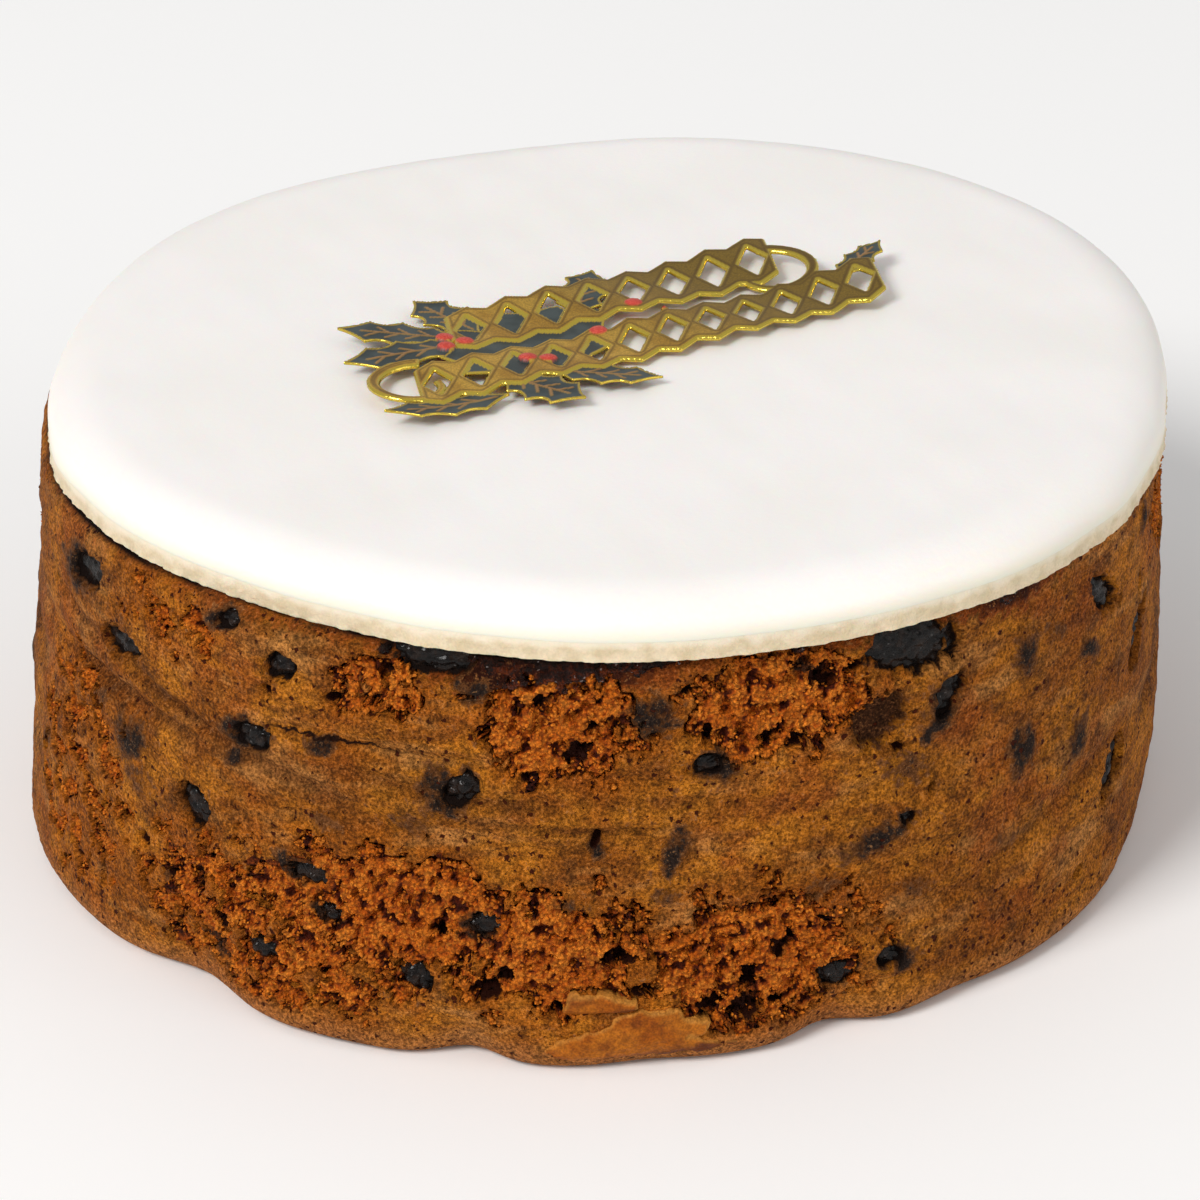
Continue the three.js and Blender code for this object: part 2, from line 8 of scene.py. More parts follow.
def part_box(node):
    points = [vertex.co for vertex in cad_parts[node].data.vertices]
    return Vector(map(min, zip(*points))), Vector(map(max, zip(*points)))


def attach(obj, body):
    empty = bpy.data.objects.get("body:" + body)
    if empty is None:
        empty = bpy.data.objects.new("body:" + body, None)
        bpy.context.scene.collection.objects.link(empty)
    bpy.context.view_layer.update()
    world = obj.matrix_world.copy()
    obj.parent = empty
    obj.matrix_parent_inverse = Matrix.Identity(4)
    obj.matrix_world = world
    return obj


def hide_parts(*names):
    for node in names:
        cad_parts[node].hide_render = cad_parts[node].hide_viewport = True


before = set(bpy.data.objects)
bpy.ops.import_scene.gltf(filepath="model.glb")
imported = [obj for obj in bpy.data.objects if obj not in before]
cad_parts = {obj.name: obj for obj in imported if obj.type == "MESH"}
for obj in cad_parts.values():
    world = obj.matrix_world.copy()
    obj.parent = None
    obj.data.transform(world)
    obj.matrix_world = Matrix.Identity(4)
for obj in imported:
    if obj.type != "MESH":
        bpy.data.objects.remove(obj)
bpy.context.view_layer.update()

MM = 0.001

# Sizes of the layers
FOOT_RADIUS = 78.5
TOP_RADIUS = 75.2
CAKE_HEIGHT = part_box("fruit_cake")[1].z / MM
CAKE_LEAN = 2.4
FOOT_ROUNDING = 3.4
SHOULDER_ROUNDING = 2.6
ICING_RADIUS = 75.2
ICING_SHIFT = 4.4
MARZIPAN_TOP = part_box("marzipan")[1].z / MM
ICING_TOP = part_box("icing")[1].z / MM
ICING_ROLL = 8.0
ROLL_POWER = 0.87


# Small sums that the shapes share

def smooth(low, high, x):
    share = np.clip((np.asarray(x, float) - low) / (high - low), 0, 1)
    return share * share * (3 - 2 * share)


def fade(low, high, x):
    return 1 - smooth(low, high, x)


def bell(x):
    return np.exp(-x * x)


def bearing_gap(a, b):
    return (a - b + 180) % 360 - 180


def seeded_draw(seed):
    """A repeatable draw of numbers from 0 to 1."""
    state = seed
    while True:
        state = state * 16807 % 2147483647
        yield state / 2147483647


def ripples(points, wavelength, seed, waves=14):
    """Soft unevenness from about -1 to 1 at points, made of plane waves near a wavelength."""
    draw = np.random.default_rng(seed)
    ways = draw.normal(size=(waves, points.shape[-1]))
    ways /= np.linalg.norm(ways, axis=1)[:, None]
    lengths = wavelength * draw.uniform(0.65, 1.6, waves)
    phases = draw.uniform(0, 2 * np.pi, waves)
    total = sum(
        np.sin(points @ way * (2 * np.pi / length) + phase)
        for way, length, phase in zip(ways, lengths, phases)
    )
    return total / math.sqrt(waves)


# The cake's side: slow waves, dents at the foot, folds and torn patches

BODY_WAVES = [(3, 0.2, -70), (5, 0.2, -22), (11, 0.2, -2)]
FOOT_DENTS = [(-42, 3.6, 7, 17), (-12, 3.3, 4, 10), (5, 0.8, 4, 7), (23, 3.3, 4.4, 12), (36, 1.2, 6, 12)]
FOLDS = [
    (-10, 41.5, 24, -0.09, 0.7, 1.3), (-12, 36.5, 20, -0.11, -0.55, 2.4), (-22, 32.5, 15, 0.05, 0.5, 1.8),
    (20, 34, 22, 0.14, 0.45, 1.8), (26, 27, 20, 0.2, -0.45, 2.6), (-62, 38, 18, -0.1, 0.8, 2),
    (-70, 31, 20, -0.1, 0.9, 2.2), (60, 24, 18, 0.1, 0.5, 2),
]
TORN_PATCHES = [
    (-4, 48, 7.5, 8), (16.5, 49, 9.5, 7.5), (-32, 14, 15, 11), (-19, 21, 14, 8.5), (-4.5, 17, 9.5, 8.5),
    (15, 14, 11, 10), (-21, 51, 5, 4), (-46, 52, 6, 4.5), (-61, 22, 9, 14),
]
# The highest value that each patch's middle reaches; a low one breaks the patch up into specks
PATCH_TOPS = [1, 1, 0.2, 1, 0.6, 1, 0.26, 0.0, 0.0]
PATCH_TOP_BEHIND = 0.5
OPEN_FROM = 0.1
FINE_RAGGED = 0.13
BROAD_RAGGED = 0.1
EDGE_RAGGED = 0.17
RELIEF_GROWTH = 12
HIDDEN_FROM = 78
HIDDEN_TO = 284


def spread_behind(count, draw, make):
    """Spreads count things over the side that the near view hides, each shifted by the draw."""
    step = (HIDDEN_TO - HIDDEN_FROM) / count
    return [make(HIDDEN_FROM + step * (i + 0.2 + 0.6 * next(draw)), draw) for i in range(count)]


def drawn_dent(bearing, draw):
    return bearing, 1.2 + 1.6 * next(draw), 3.5 + 3 * next(draw), 8 + 6 * next(draw)


def drawn_fold(bearing, draw):
    height, reach, tilt = 14 + 30 * next(draw), 12 + 12 * next(draw), 0.3 * (next(draw) - 0.5)
    depth = 0.7 if next(draw) < 0.65 else -0.5
    return bearing, height, reach, tilt, depth, 1.3 + 1.3 * next(draw)


def drawn_tear(bearing, draw):
    low = next(draw) < 0.5
    height = 10 + 12 * next(draw) if low else 36 + 14 * next(draw)
    return bearing, height, 6 + 6 * next(draw), 5 + 4 * next(draw)


DENTS = FOOT_DENTS + spread_behind(6, seeded_draw(11), drawn_dent)
ALL_FOLDS = FOLDS + spread_behind(9, seeded_draw(23), drawn_fold)
TEARS = TORN_PATCHES + spread_behind(11, seeded_draw(37), drawn_tear)


def open_share(bearing, height, ragged):
    """Where the crumb lies open: above 0 inside a tear, with ragged edges, and below 0 on whole skin."""
    most = np.full(np.shape(bearing), -1.0)
    tops = PATCH_TOPS + [PATCH_TOP_BEHIND] * (len(TEARS) - len(PATCH_TOPS))
    for (at, level, reach, tall), top in zip(TEARS, tops):
        far = np.hypot(bearing_gap(bearing, at) / reach, (height - level) / tall)
        most = np.maximum(most, np.minimum(1 - far, top))
    most = most + FINE_RAGGED * np.sin(bearing * 0.9 + height * 0.5)
    most += BROAD_RAGGED * np.sin(bearing * 0.37 - height * 1.1)
    return most - OPEN_FROM + EDGE_RAGGED * ragged


def side_relief(bearing, height):
    """How far the skin stands out from the plain taper."""
    relief = np.zeros(np.shape(bearing))
    for lobes, swing, crest in BODY_WAVES:
        relief += swing * np.cos(np.radians(lobes * (bearing - crest)))
    for at, depth, spread, rise in DENTS:
        relief -= depth * bell(bearing_gap(bearing, at) / spread) * fade(0, rise, height)
    for at, level, reach, tilt, depth, spread in ALL_FOLDS:
        along = bearing_gap(bearing, at)
        off = height - (level + tilt * along)
        relief -= depth * bell(off / spread) * fade(reach * 0.5, reach, np.abs(along))
    return relief


# Finer creases than the solid has, in the same form as the folds
CREASES = [
    (-46, 40.5, 9, -0.28, 1.0, 1.0), (-52, 37.5, 14, -0.05, 1.0, 1.1), (-33, 37.2, 12, -0.22, 0.8, 1.2),
    (-14, 38.0, 16, -0.12, 0.7, 1.0), (-12, 34.6, 14, -0.1, -0.35, 1.4), (-4, 34.4, 14, -0.08, 0.6, 0.8),
    (4, 37.5, 14, -0.1, 0.35, 1.0), (-62, 44, 9, -0.3, 0.5, 1.0), (24, 22.5, 16, 0.12, 0.3, 1.2),
    (16, 26.5, 14, 0.15, 0.3, 1.0), (48, 21, 14, 0.25, 0.35, 1.2), (34, 16.5, 12, 0.1, 0.3, 1.1),
    (-86, 39, 12, 0, 0.8, 4.0), (-84, 46.5, 9, 0.1, 0.6, 1.4), (-80, 30, 10, -0.1, 0.5, 1.4),
    (82, 36, 12, 0.1, 0.6, 2.0), (76, 24, 12, 0.2, 0.6, 1.4),
]
HIDDEN_CREASES = 14
# The crease depth at which the painted shade in a crease is darkest
FULL_CREASE_SHADE = 0.7
# The cut at the foot on the right: bearing, depth, spread and height; the flatter left side: the first three
LOW_CUT = (72, 1.9, 12, 18)
LEFT_EASE = (-88, 0.8, 16)


def drawn_crease(bearing, draw):
    height, reach, tilt = 8 + 42 * next(draw), 8 + 8 * next(draw), 0.5 * (next(draw) - 0.5)
    return bearing, height, reach, tilt, 0.45, 0.9 + 0.6 * next(draw)


ALL_CREASES = CREASES + spread_behind(HIDDEN_CREASES, seeded_draw(91), drawn_crease)


def fine_relief(bearing, height):
    """Relief of the creases, the cut at the foot and the flatter left side, and the share of painted shade
    that the creases give each place.
    """
    at, depth, spread, rise = LOW_CUT
    relief = -depth * bell(bearing_gap(bearing, at) / spread) * fade(0, rise, height)
    at, depth, spread = LEFT_EASE
    relief = relief - depth * bell(bearing_gap(bearing, at) / spread)
    shade = np.zeros(np.shape(bearing))
    for at, level, reach, tilt, depth, spread in ALL_CREASES:
        along = bearing_gap(bearing, at)
        dip = bell((height - level - tilt * along) / spread) * fade(reach * 0.4, reach, np.abs(along))
        relief = relief - depth * dip
        shade = np.maximum(shade, dip * depth / FULL_CREASE_SHADE)
    return relief, shade


def skin_radius(bearing, height):
    """Radius of the skin with its folds and creases, without the rounding of the edges."""
    return side_radius(height) + side_relief(bearing, height) + fine_relief(bearing, height)[0]


def side_radius(height):
    return FOOT_RADIUS + (TOP_RADIUS - FOOT_RADIUS) * height / CAKE_HEIGHT


def side_point(bearing, height, radius):
    angle = np.radians(bearing)
    lean = CAKE_LEAN * height / CAKE_HEIGHT
    height = np.broadcast_to(height, np.shape(angle))
    return np.stack([radius * np.sin(angle) + lean, -radius * np.cos(angle), height], axis=-1)


# Raisins and currants: bearing, height, length, width, turn from level and look
BARE, HALF, VEILED, FAINT, HOLLOW = "bare", "half", "veiled", "faint", "hollow"
NEAR_FRUIT = [
    (-61.2, 50.5, 12, 7, 13, HALF), (-53.6, 44, 8.6, 3.9, 0, BARE), (-38.2, 54.8, 5.9, 3.4, 10, HALF),
    (-31.4, 50.9, 4.8, 3.6, 28, BARE), (-35.2, 40.5, 8.2, 5.4, -10, HALF),
    (-36.3, 36.9, 3.6, 2.6, 28, VEILED), (-26.7, 41.9, 4.8, 2.8, 10, VEILED),
    (-50.7, 32, 9, 6.4, 40, VEILED), (-49.5, 27.5, 7, 6, 0, FAINT), (-41.4, 27.6, 6.2, 4.5, -55, BARE),
    (-28.8, 24, 8, 4.6, -16, HALF), (-25.9, 18.9, 4.6, 3.6, -10, HALF), (-46.2, 41.1, 5.6, 2.6, 5, FAINT),
    (-55.7, 35.5, 6.6, 2.6, 20, FAINT), (-44.3, 16.4, 4.6, 2.4, 20, FAINT),
    (-26.3, 31.9, 6, 3.4, -5, FAINT), (-38.5, 8.5, 6.4, 4, -35, VEILED), (-33, 11, 5, 3.6, 0, BARE),
    (-14, 38.6, 8.4, 7, 5, HALF), (-15.9, 55.6, 11.8, 4.4, 0, BARE), (-12, 53, 6, 4.6, 9, VEILED),
    (-11, 20.4, 6.4, 4.8, 10, HALF), (-16.7, 11.8, 5, 4.2, -26, BARE), (-18, 33.5, 6, 4, -20, FAINT),
    (-3.3, 23.9, 8, 2.8, 0, FAINT), (-0.4, 32, 3.8, 2.2, -71, VEILED), (6.9, 30.9, 7.2, 3.2, 64, VEILED),
    (6.1, 24.6, 4, 2.8, -10, FAINT), (4.6, 49.4, 8, 6.2, -14, VEILED), (10.5, 41.7, 7, 4.4, 168, HALF),
    (-0.8, 15, 6, 4, -16, FAINT), (19, 53, 4.4, 3, -19, VEILED), (30, 52.8, 13.4, 7.4, -12, BARE),
    (26.5, 43.6, 8.5, 6.8, 20, HOLLOW), (33.2, 43.4, 9.4, 5.8, 50, HALF), (29.5, 36.5, 9, 6, -30, FAINT),
    (43.4, 32.4, 8.2, 6.4, -70, VEILED), (52, 29, 7.4, 5.6, 78, VEILED), (43.8, 45.9, 6, 5, -79, VEILED),
    (48.1, 46.7, 6.4, 3.2, -16, FAINT), (53.9, 41, 6, 2.6, -28, VEILED), (56.9, 47, 9, 4, -46, BARE),
    (65.5, 36, 9, 4.4, 62, BARE), (59.6, 20, 8.6, 4, 50, BARE), (26.2, 28.1, 10.4, 3.6, 18, VEILED),
    (29.2, 29.8, 3.6, 2.4, -10, HALF), (41.1, 21, 6.3, 3, -20, FAINT), (30.6, 19.7, 6, 3.6, -20, FAINT),
    (20.9, 23.1, 7, 4, 16, FAINT), (29, 9.8, 6.4, 4.4, 150, HALF), (23.1, 9.8, 5.6, 4.2, -10, BARE),
    (66, 52, 5, 3, 80, VEILED), (-70, 20, 6, 4, 60, FAINT),
]
HIDDEN_FRUIT_ROWS = [(11, 9), (22, 10), (32, 9), (42, 10), (51, 9)]
HIDDEN_LOOKS = [BARE, VEILED, HALF, FAINT, VEILED, BARE, FAINT]


def hidden_fruit():
    draw = seeded_draw(53)
    found = []
    for level, count in HIDDEN_FRUIT_ROWS:
        found += spread_behind(
            count,
            draw,
            lambda bearing, draw: (
                bearing,
                level + 7 * (next(draw) - 0.5),
                5 + 4 * next(draw),
                3.4 + 2.4 * next(draw),
                180 * next(draw),
            ),
        )
    return [fruit + (HIDDEN_LOOKS[i % len(HIDDEN_LOOKS)],) for i, fruit in enumerate(found)]


FRUIT = NEAR_FRUIT + hidden_fruit()
# Millimetres along the side for each degree
ARC = math.radians(1) * 77.5


def fruit_reach(bearing, height, fruit, shift=0.0):
    """Distance from a fruit's middle, as a share of its half size, so 1 is its edge."""
    at, level, length, width, turn, _ = fruit
    across = bearing_gap(bearing, at) * ARC
    up = height - level
    angle = math.radians(turn)
    along = across * math.cos(angle) + up * math.sin(angle) - shift * length
    aside = up * math.cos(angle) - across * math.sin(angle)
    return np.hypot(along / (length / 2), aside / (width / 2))


# Deep ragged holes in the crumb and small slits in the skin: bearing, height, length, width and turn
HOLES = [
    (-5.7, 51.4, 1.6, 1.3, 0), (-2.2, 43.8, 3.0, 2.4, 70), (-1.0, 47.9, 1.8, 1.2, 20),
    (-11.0, 46.6, 2.6, 1.3, 75), (-6.6, 40.8, 2.4, 1.3, 20), (7.7, 52.1, 1.6, 1.2, 40),
    (9.6, 45.8, 2.4, 1.3, 80), (15.6, 44.7, 2.2, 1.5, 10), (18.2, 43.4, 2.6, 2.0, 30),
    (-0.4, 32.9, 3.0, 1.3, 80), (2.1, 16.4, 5.0, 2.0, -14), (-10.0, 11.3, 4.0, 3.2, 0),
    (-8.5, 13.8, 2.4, 2.0, 30), (4.6, 11.3, 3.6, 1.8, 5), (17.1, 22.2, 4.0, 1.7, 20),
    (17.5, 15.1, 2.8, 2.2, 60), (10.5, 7.9, 3.6, 2.6, 70), (14.2, 7.6, 4.6, 3.6, 10),
    (14.0, 11.1, 3.0, 2.0, 80), (17.0, 7.6, 2.2, 2.0, 0), (-3.7, 9.3, 2.0, 1.2, -20),
    (-14.5, 18.9, 2.6, 1.4, 10), (-48.5, 18.9, 2.4, 2.0, 20), (-44.4, 16.6, 2.0, 1.6, 0),
    (-40.5, 17.7, 3.2, 1.8, -60), (-48.6, 12.8, 2.6, 1.4, -50), (-60.2, 9.4, 2.0, 1.5, 0),
    (-54.9, 9.6, 4.0, 0.9, 85), (-43.2, 12.6, 2.6, 1.5, -10), (-37.9, 12.8, 3.0, 2.2, -30),
    (-25.6, 19.0, 3.0, 2.4, -20), (-21.7, 49.1, 2.8, 1.8, -20), (-25.8, 48.4, 2.2, 1.4, 10),
    (-20.5, 53.0, 1.4, 1.2, 0), (-32.8, 47.4, 2.0, 1.4, -40), (-63.4, 25.8, 2.6, 1.6, 70),
    (-45.7, 5.8, 2.6, 0.9, -60), (23.9, 51.9, 1.8, 1.4, 0), (65.6, 42.4, 3.4, 1.0, 80),
    (65.5, 38.9, 2.6, 1.0, 75), (28.5, 39.7, 2.6, 1.6, -50), (20.4, 51.7, 3.4, 2.4, -20),
    (53.2, 9.1, 1.6, 1.3, 30), (32.2, 32.7, 1.5, 0.9, 70),
]
HIDDEN_HOLES = 30
HOLE_DEPTH = 2.0


def drawn_hole(bearing, draw):
    return bearing, 6 + 46 * next(draw), 1.4 + 2.6 * next(draw), 1.1 + 1.2 * next(draw), 180 * next(draw)


ALL_HOLES = HOLES + spread_behind(HIDDEN_HOLES, seeded_draw(71), drawn_hole)


def hole_at(bearing, height, ragged):
    """How deep each place lies in a hole, from 0 outside to 1, and how far inside its edge."""
    deep, inside = np.zeros(np.shape(bearing)), np.full(np.shape(bearing), -1.0)
    for hole in ALL_HOLES:
        reach = fruit_reach(bearing, height, hole + (HOLLOW,)) + 0.25 * ragged
        deep = np.maximum(deep, fade(0.55, 1.25, reach))
        inside = np.maximum(inside, np.clip(1 - reach, -1, 1))
    return deep, inside


# Each look of a fruit: how dark its veil is, how far the skin bulges over it and how deep its socket is
FRUIT_LOOKS = {
    FAINT: {"veil": 0.4, "bulge": 0.2, "socket": 0.0},
    VEILED: {"veil": 0.8, "bulge": 0.4, "socket": 0.0},
    HALF: {"veil": 0.9, "bulge": 0.35, "socket": 1.5},
    BARE: {"veil": 0.7, "bulge": 0.1, "socket": 1.9},
    HOLLOW: {"veil": 0.5, "bulge": 0.0, "socket": 2.0},
}
# How far the open end of a half bare fruit lies from its middle, as a share of its length
HALF_SHIFT = 0.16


def fruit_marks(bearing, height, ragged):
    """The veil, the bulge, the sockets' depth and how far a place lies inside a full and an empty socket."""
    veil, bulge, socket = (np.zeros(np.shape(bearing)) for _ in range(3))
    inside, fallen = np.full((2, *np.shape(bearing)), -1.0)
    for fruit in FRUIT:
        look = FRUIT_LOOKS[fruit[-1]]
        reach = fruit_reach(bearing, height, fruit)
        veil = np.maximum(veil, look["veil"] * fade(0.3, 1.4, reach + 0.2 * ragged))
        bulge += look["bulge"] * fade(0.3, 1.3, reach)
        if look["socket"]:
            if fruit[-1] == HALF:
                reach = fruit_reach(bearing, height, fruit, HALF_SHIFT) * 1.5
            reach = reach + 0.2 * ragged
            socket = np.maximum(socket, look["socket"] * fade(0.75, 1.15, reach))
            within = np.clip(1 - reach, -1, 1)
            if fruit[-1] == HOLLOW:
                fallen = np.maximum(fallen, within)
            else:
                inside = np.maximum(inside, within)
    return veil, bulge, socket, inside, fallen


# The jam glaze along the top edge: bearing, spread and strength
GLAZED = [(-9, 9, 1.0), (3, 7, 0.5), (42, 8, 0.8), (22, 6, 0.35), (130, 25, 0.7), (215, 20, 0.8)]


def glaze_strength(bearing):
    strength = np.full(np.shape(bearing), 0.02)
    for at, spread, most in GLAZED:
        strength += most * bell(bearing_gap(bearing, at) / spread)
    return np.clip(strength, 0, 1)


def glaze_at(bearing, height, ragged):
    """How much jam has soaked into the skin."""
    strength = glaze_strength(bearing)
    level = CAKE_HEIGHT - 0.6 - 3.6 * strength
    return (0.3 + 0.7 * strength) * smooth(-2.2, 1.2, height - level + 0.9 * ragged)


# The thin crack along the upper side: bearings and heights that it passes
CRACK = np.array([(-31, 42.8), (-22.9, 42.8), (-14.7, 42.4), (-8.2, 42.6), (1.0, 40), (10.2, 37.8)])
CRACK_DEPTH = 0.5
CRACK_WIDTH = 0.7
CRACK_REACH = 2.0


def crack_gap(bearing, height, ragged):
    """Distance above or below the crack's line, at most CRACK_REACH, and how open the crack is there."""
    level = np.interp(bearing, CRACK[:, 0], CRACK[:, 1]) + 0.35 * ragged
    opened = smooth(-33, -31, bearing) * fade(-23, -14, bearing)
    return np.clip(height - level, -CRACK_REACH, CRACK_REACH), opened


# Meshes

def add_piece(name, corners, faces, **marks):
    """A mesh object from corners in millimetres. Each mark is a number at every corner."""
    mesh = bpy.data.meshes.new(name)
    mesh.from_pydata((np.asarray(corners, float).reshape(-1, 3) * MM).tolist(), [], faces)
    for mark, values in marks.items():
        layer = mesh.attributes.new(mark, "FLOAT", "POINT")
        layer.data.foreach_set("value", np.asarray(values, np.float32).ravel())
    mesh.shade_smooth()
    piece = bpy.data.objects.new(name, mesh)
    bpy.context.scene.collection.objects.link(piece)
    return piece


def turned_faces(rings, columns):
    """Faces of a turned body whose rings run from a pole under it to a pole above it."""
    ring, column = np.arange(rings - 1)[:, None] * columns, np.arange(columns)[None, :]
    after = (column + 1) % columns
    quads = np.stack([ring + column, ring + after, ring + columns + after, ring + columns + column], -1)
    low, high = rings * columns, rings * columns + 1
    foot = np.stack([after[0], column[0], np.full(columns, low)], -1)
    last = (rings - 1) * columns
    top = np.stack([last + column[0], last + after[0], np.full(columns, high)], -1)
    return quads.reshape(-1, 4).tolist() + foot.tolist() + top.tolist()


def turned_piece(name, rings, poles, **marks):
    """A closed turned body from its rings of corners, with the points that close it below and above."""
    corners = np.concatenate([rings.reshape(-1, 3), np.array(poles, float)])
    padded = {mark: np.append(values.ravel(), [0, 0]) for mark, values in marks.items()}
    return add_piece(name, corners, turned_faces(*rings.shape[:2]), **padded)


def rounded_corner(radius, height, rounding, start, end, rows):
    angles = np.radians(start + (end - start) * np.arange(1, rows + 1) / rows)
    return np.stack([radius + rounding * np.cos(angles), height + rounding * np.sin(angles)], -1)


# Node trees

class Wiring:
    """Adds nodes to a tree. An input takes a socket to link or a plain value."""

    def __init__(self, tree):
        self.tree = tree

    def add(self, kind, inputs=None, **settings):
        node = self.tree.nodes.new(kind)
        for key, value in settings.items():
            setattr(node, key, value)
        for key, value in (inputs or {}).items():
            self.put(self.socket(node.inputs, key), value)
        return node

    def socket(self, sockets, key):
        if isinstance(key, int):
            return sockets[key]
        return next(s for s in sockets if s.name == key and s.enabled)

    def put(self, socket, value):
        if isinstance(value, bpy.types.NodeSocket):
            self.tree.links.new(value, socket)
        else:
            socket.default_value = value

    def out(self, node, key=0):
        return self.socket(node.outputs, key)

    def math(self, operation, a, b=0.0):
        return self.out(self.add("ShaderNodeMath", {0: a, 1: b}, operation=operation))

    def plus(self, a, b):
        return self.math("ADD", a, b)

    def minus(self, a, b):
        return self.math("SUBTRACT", a, b)

    def times(self, a, b):
        return self.math("MULTIPLY", a, b)

    def vector(self, operation, a, b=(0, 0, 0)):
        return self.out(self.add("ShaderNodeVectorMath", {0: a, 1: b}, operation=operation))

    def scaled(self, vector, scale):
        node = self.add("ShaderNodeVectorMath", {0: vector, "Scale": scale}, operation="SCALE")
        return self.out(node)

    def ramp(self, value, low, high, to_low=0.0, to_high=1.0):
        inputs = {"Value": value, "From Min": low, "From Max": high, "To Min": to_low, "To Max": to_high}
        return self.out(self.add("ShaderNodeMapRange", inputs, interpolation_type="SMOOTHSTEP"))

    def noise(self, place, size, detail=2.0, roughness=0.5):
        """Noise whose features are about size metres across."""
        inputs = {"Vector": place, "Scale": 1 / size, "Detail": detail, "Roughness": roughness}
        return self.out(self.add("ShaderNodeTexNoise", inputs))

    def mixed_noise(self, place, scale):
        """Noise with three different parts, each from 0 to 1."""
        return self.out(self.add("ShaderNodeTexNoise", {"Vector": place, "Scale": scale}), "Color")

    def swirl(self, place, scale):
        """Noise with three different parts, each from -0.5 to 0.5."""
        return self.vector("SUBTRACT", self.mixed_noise(place, scale), (0.5, 0.5, 0.5))


class GeometryTree(Wiring):
    """A Geometry Nodes tree with named inputs that ends in Realize Instances and Set Material."""

    KINDS = {float: "NodeSocketFloat", int: "NodeSocketInt"}

    def __init__(self, name, **inputs):
        super().__init__(bpy.data.node_groups.new(name, "GeometryNodeTree"))
        face = self.tree.interface
        face.new_socket("Geometry", in_out="INPUT", socket_type="NodeSocketGeometry")
        face.new_socket("Finish", in_out="INPUT", socket_type="NodeSocketMaterial")
        for label, value in inputs.items():
            socket = face.new_socket(label, in_out="INPUT", socket_type=self.KINDS[type(value)])
            socket.default_value = value
        face.new_socket("Geometry", in_out="OUTPUT", socket_type="NodeSocketGeometry")
        self.group = self.add("NodeGroupInput")

    def given(self, label):
        return self.out(self.group, label)

    def mark(self, name, data_type="FLOAT"):
        node = self.add("GeometryNodeInputNamedAttribute", {"Name": name}, data_type=data_type)
        return self.out(node, "Attribute")

    def store(self, geometry, name, value):
        inputs = {"Geometry": geometry, "Name": name, "Value": value}
        kinds = {"data_type": "FLOAT", "domain": "POINT"}
        return self.out(self.add("GeometryNodeStoreNamedAttribute", inputs, **kinds))

    def surface(self):
        """The place and the outward direction of every corner."""
        return [self.out(self.add("GeometryNodeInput" + kind)) for kind in ("Position", "Normal")]

    def moved(self, geometry, offset):
        inputs = {"Geometry": geometry, "Offset": offset}
        return self.out(self.add("GeometryNodeSetPosition", inputs))

    def balls(self, points, subdivisions, turn, half_size):
        """Real balls at the points, each with its turn and half its size."""
        ball = self.add("GeometryNodeMeshIcoSphere", {"Radius": 1.0, "Subdivisions": subdivisions})
        inputs = {"Points": points, "Instance": self.out(ball), "Rotation": turn, "Scale": half_size}
        placed = self.add("GeometryNodeInstanceOnPoints", inputs)
        return self.out(self.add("GeometryNodeRealizeInstances", {"Geometry": self.out(placed)}))

    def per_size(self, size):
        """The texture scale whose features are as large as the input named size."""
        return self.math("DIVIDE", 1.0, self.given(size))

    def sized_noise(self, place, size, detail):
        """Noise from -0.5 to 0.5 whose features are as large as the input named size."""
        inputs = {"Vector": place, "Scale": self.per_size(size), "Detail": detail, "Roughness": 0.6}
        return self.minus(self.out(self.add("ShaderNodeTexNoise", inputs)), 0.5)

    def sized_cells(self, place, size, feature="F1"):
        """Distances in cells as large as the input named size."""
        inputs = {"Vector": place, "Scale": self.per_size(size)}
        return self.out(self.add("ShaderNodeTexVoronoi", inputs, feature=feature), "Distance")

    def drawn(self, low, high, seed):
        """Three numbers between low and high for each thing."""
        inputs = {"Min": (low,) * 3, "Max": (high,) * 3, "Seed": seed}
        return self.out(self.add("FunctionNodeRandomValue", inputs, data_type="FLOAT_VECTOR"), "Value")

    def end(self, geometry):
        realized = self.out(self.add("GeometryNodeRealizeInstances", {"Geometry": geometry}))
        inputs = {"Geometry": realized, "Material": self.given("Finish")}
        finished = self.out(self.add("GeometryNodeSetMaterial", inputs))
        self.add("NodeGroupOutput", {"Geometry": finished})
        return self.tree


def made_by_nodes(piece, tree, finish, **values):
    """Runs a tree on a piece and keeps the result as its plain mesh."""
    modifier = piece.modifiers.new(tree.name, "NODES")
    modifier.node_group = tree
    for item in tree.interface.items_tree:
        if item.in_out == "INPUT" and item.name in values:
            modifier[item.identifier] = values[item.name]
        if item.in_out == "INPUT" and item.name == "Finish":
            modifier[item.identifier] = finish
    graph = bpy.context.evaluated_depsgraph_get()
    mesh = bpy.data.meshes.new_from_object(
        piece.evaluated_get(graph), preserve_all_data_layers=True, depsgraph=graph
    )
    piece.modifiers.clear()
    piece.data = mesh
    mesh.name = piece.name
    mesh.shade_smooth()
    return piece


# Finishes

def linear(red, green, blue):
    """A colour from its screen values, 0 to 255."""
    def one(value):
        share = value / 255
        return share / 12.92 if share <= 0.04045 else ((share + 0.055) / 1.055) ** 2.4
    return one(red), one(green), one(blue), 1.0


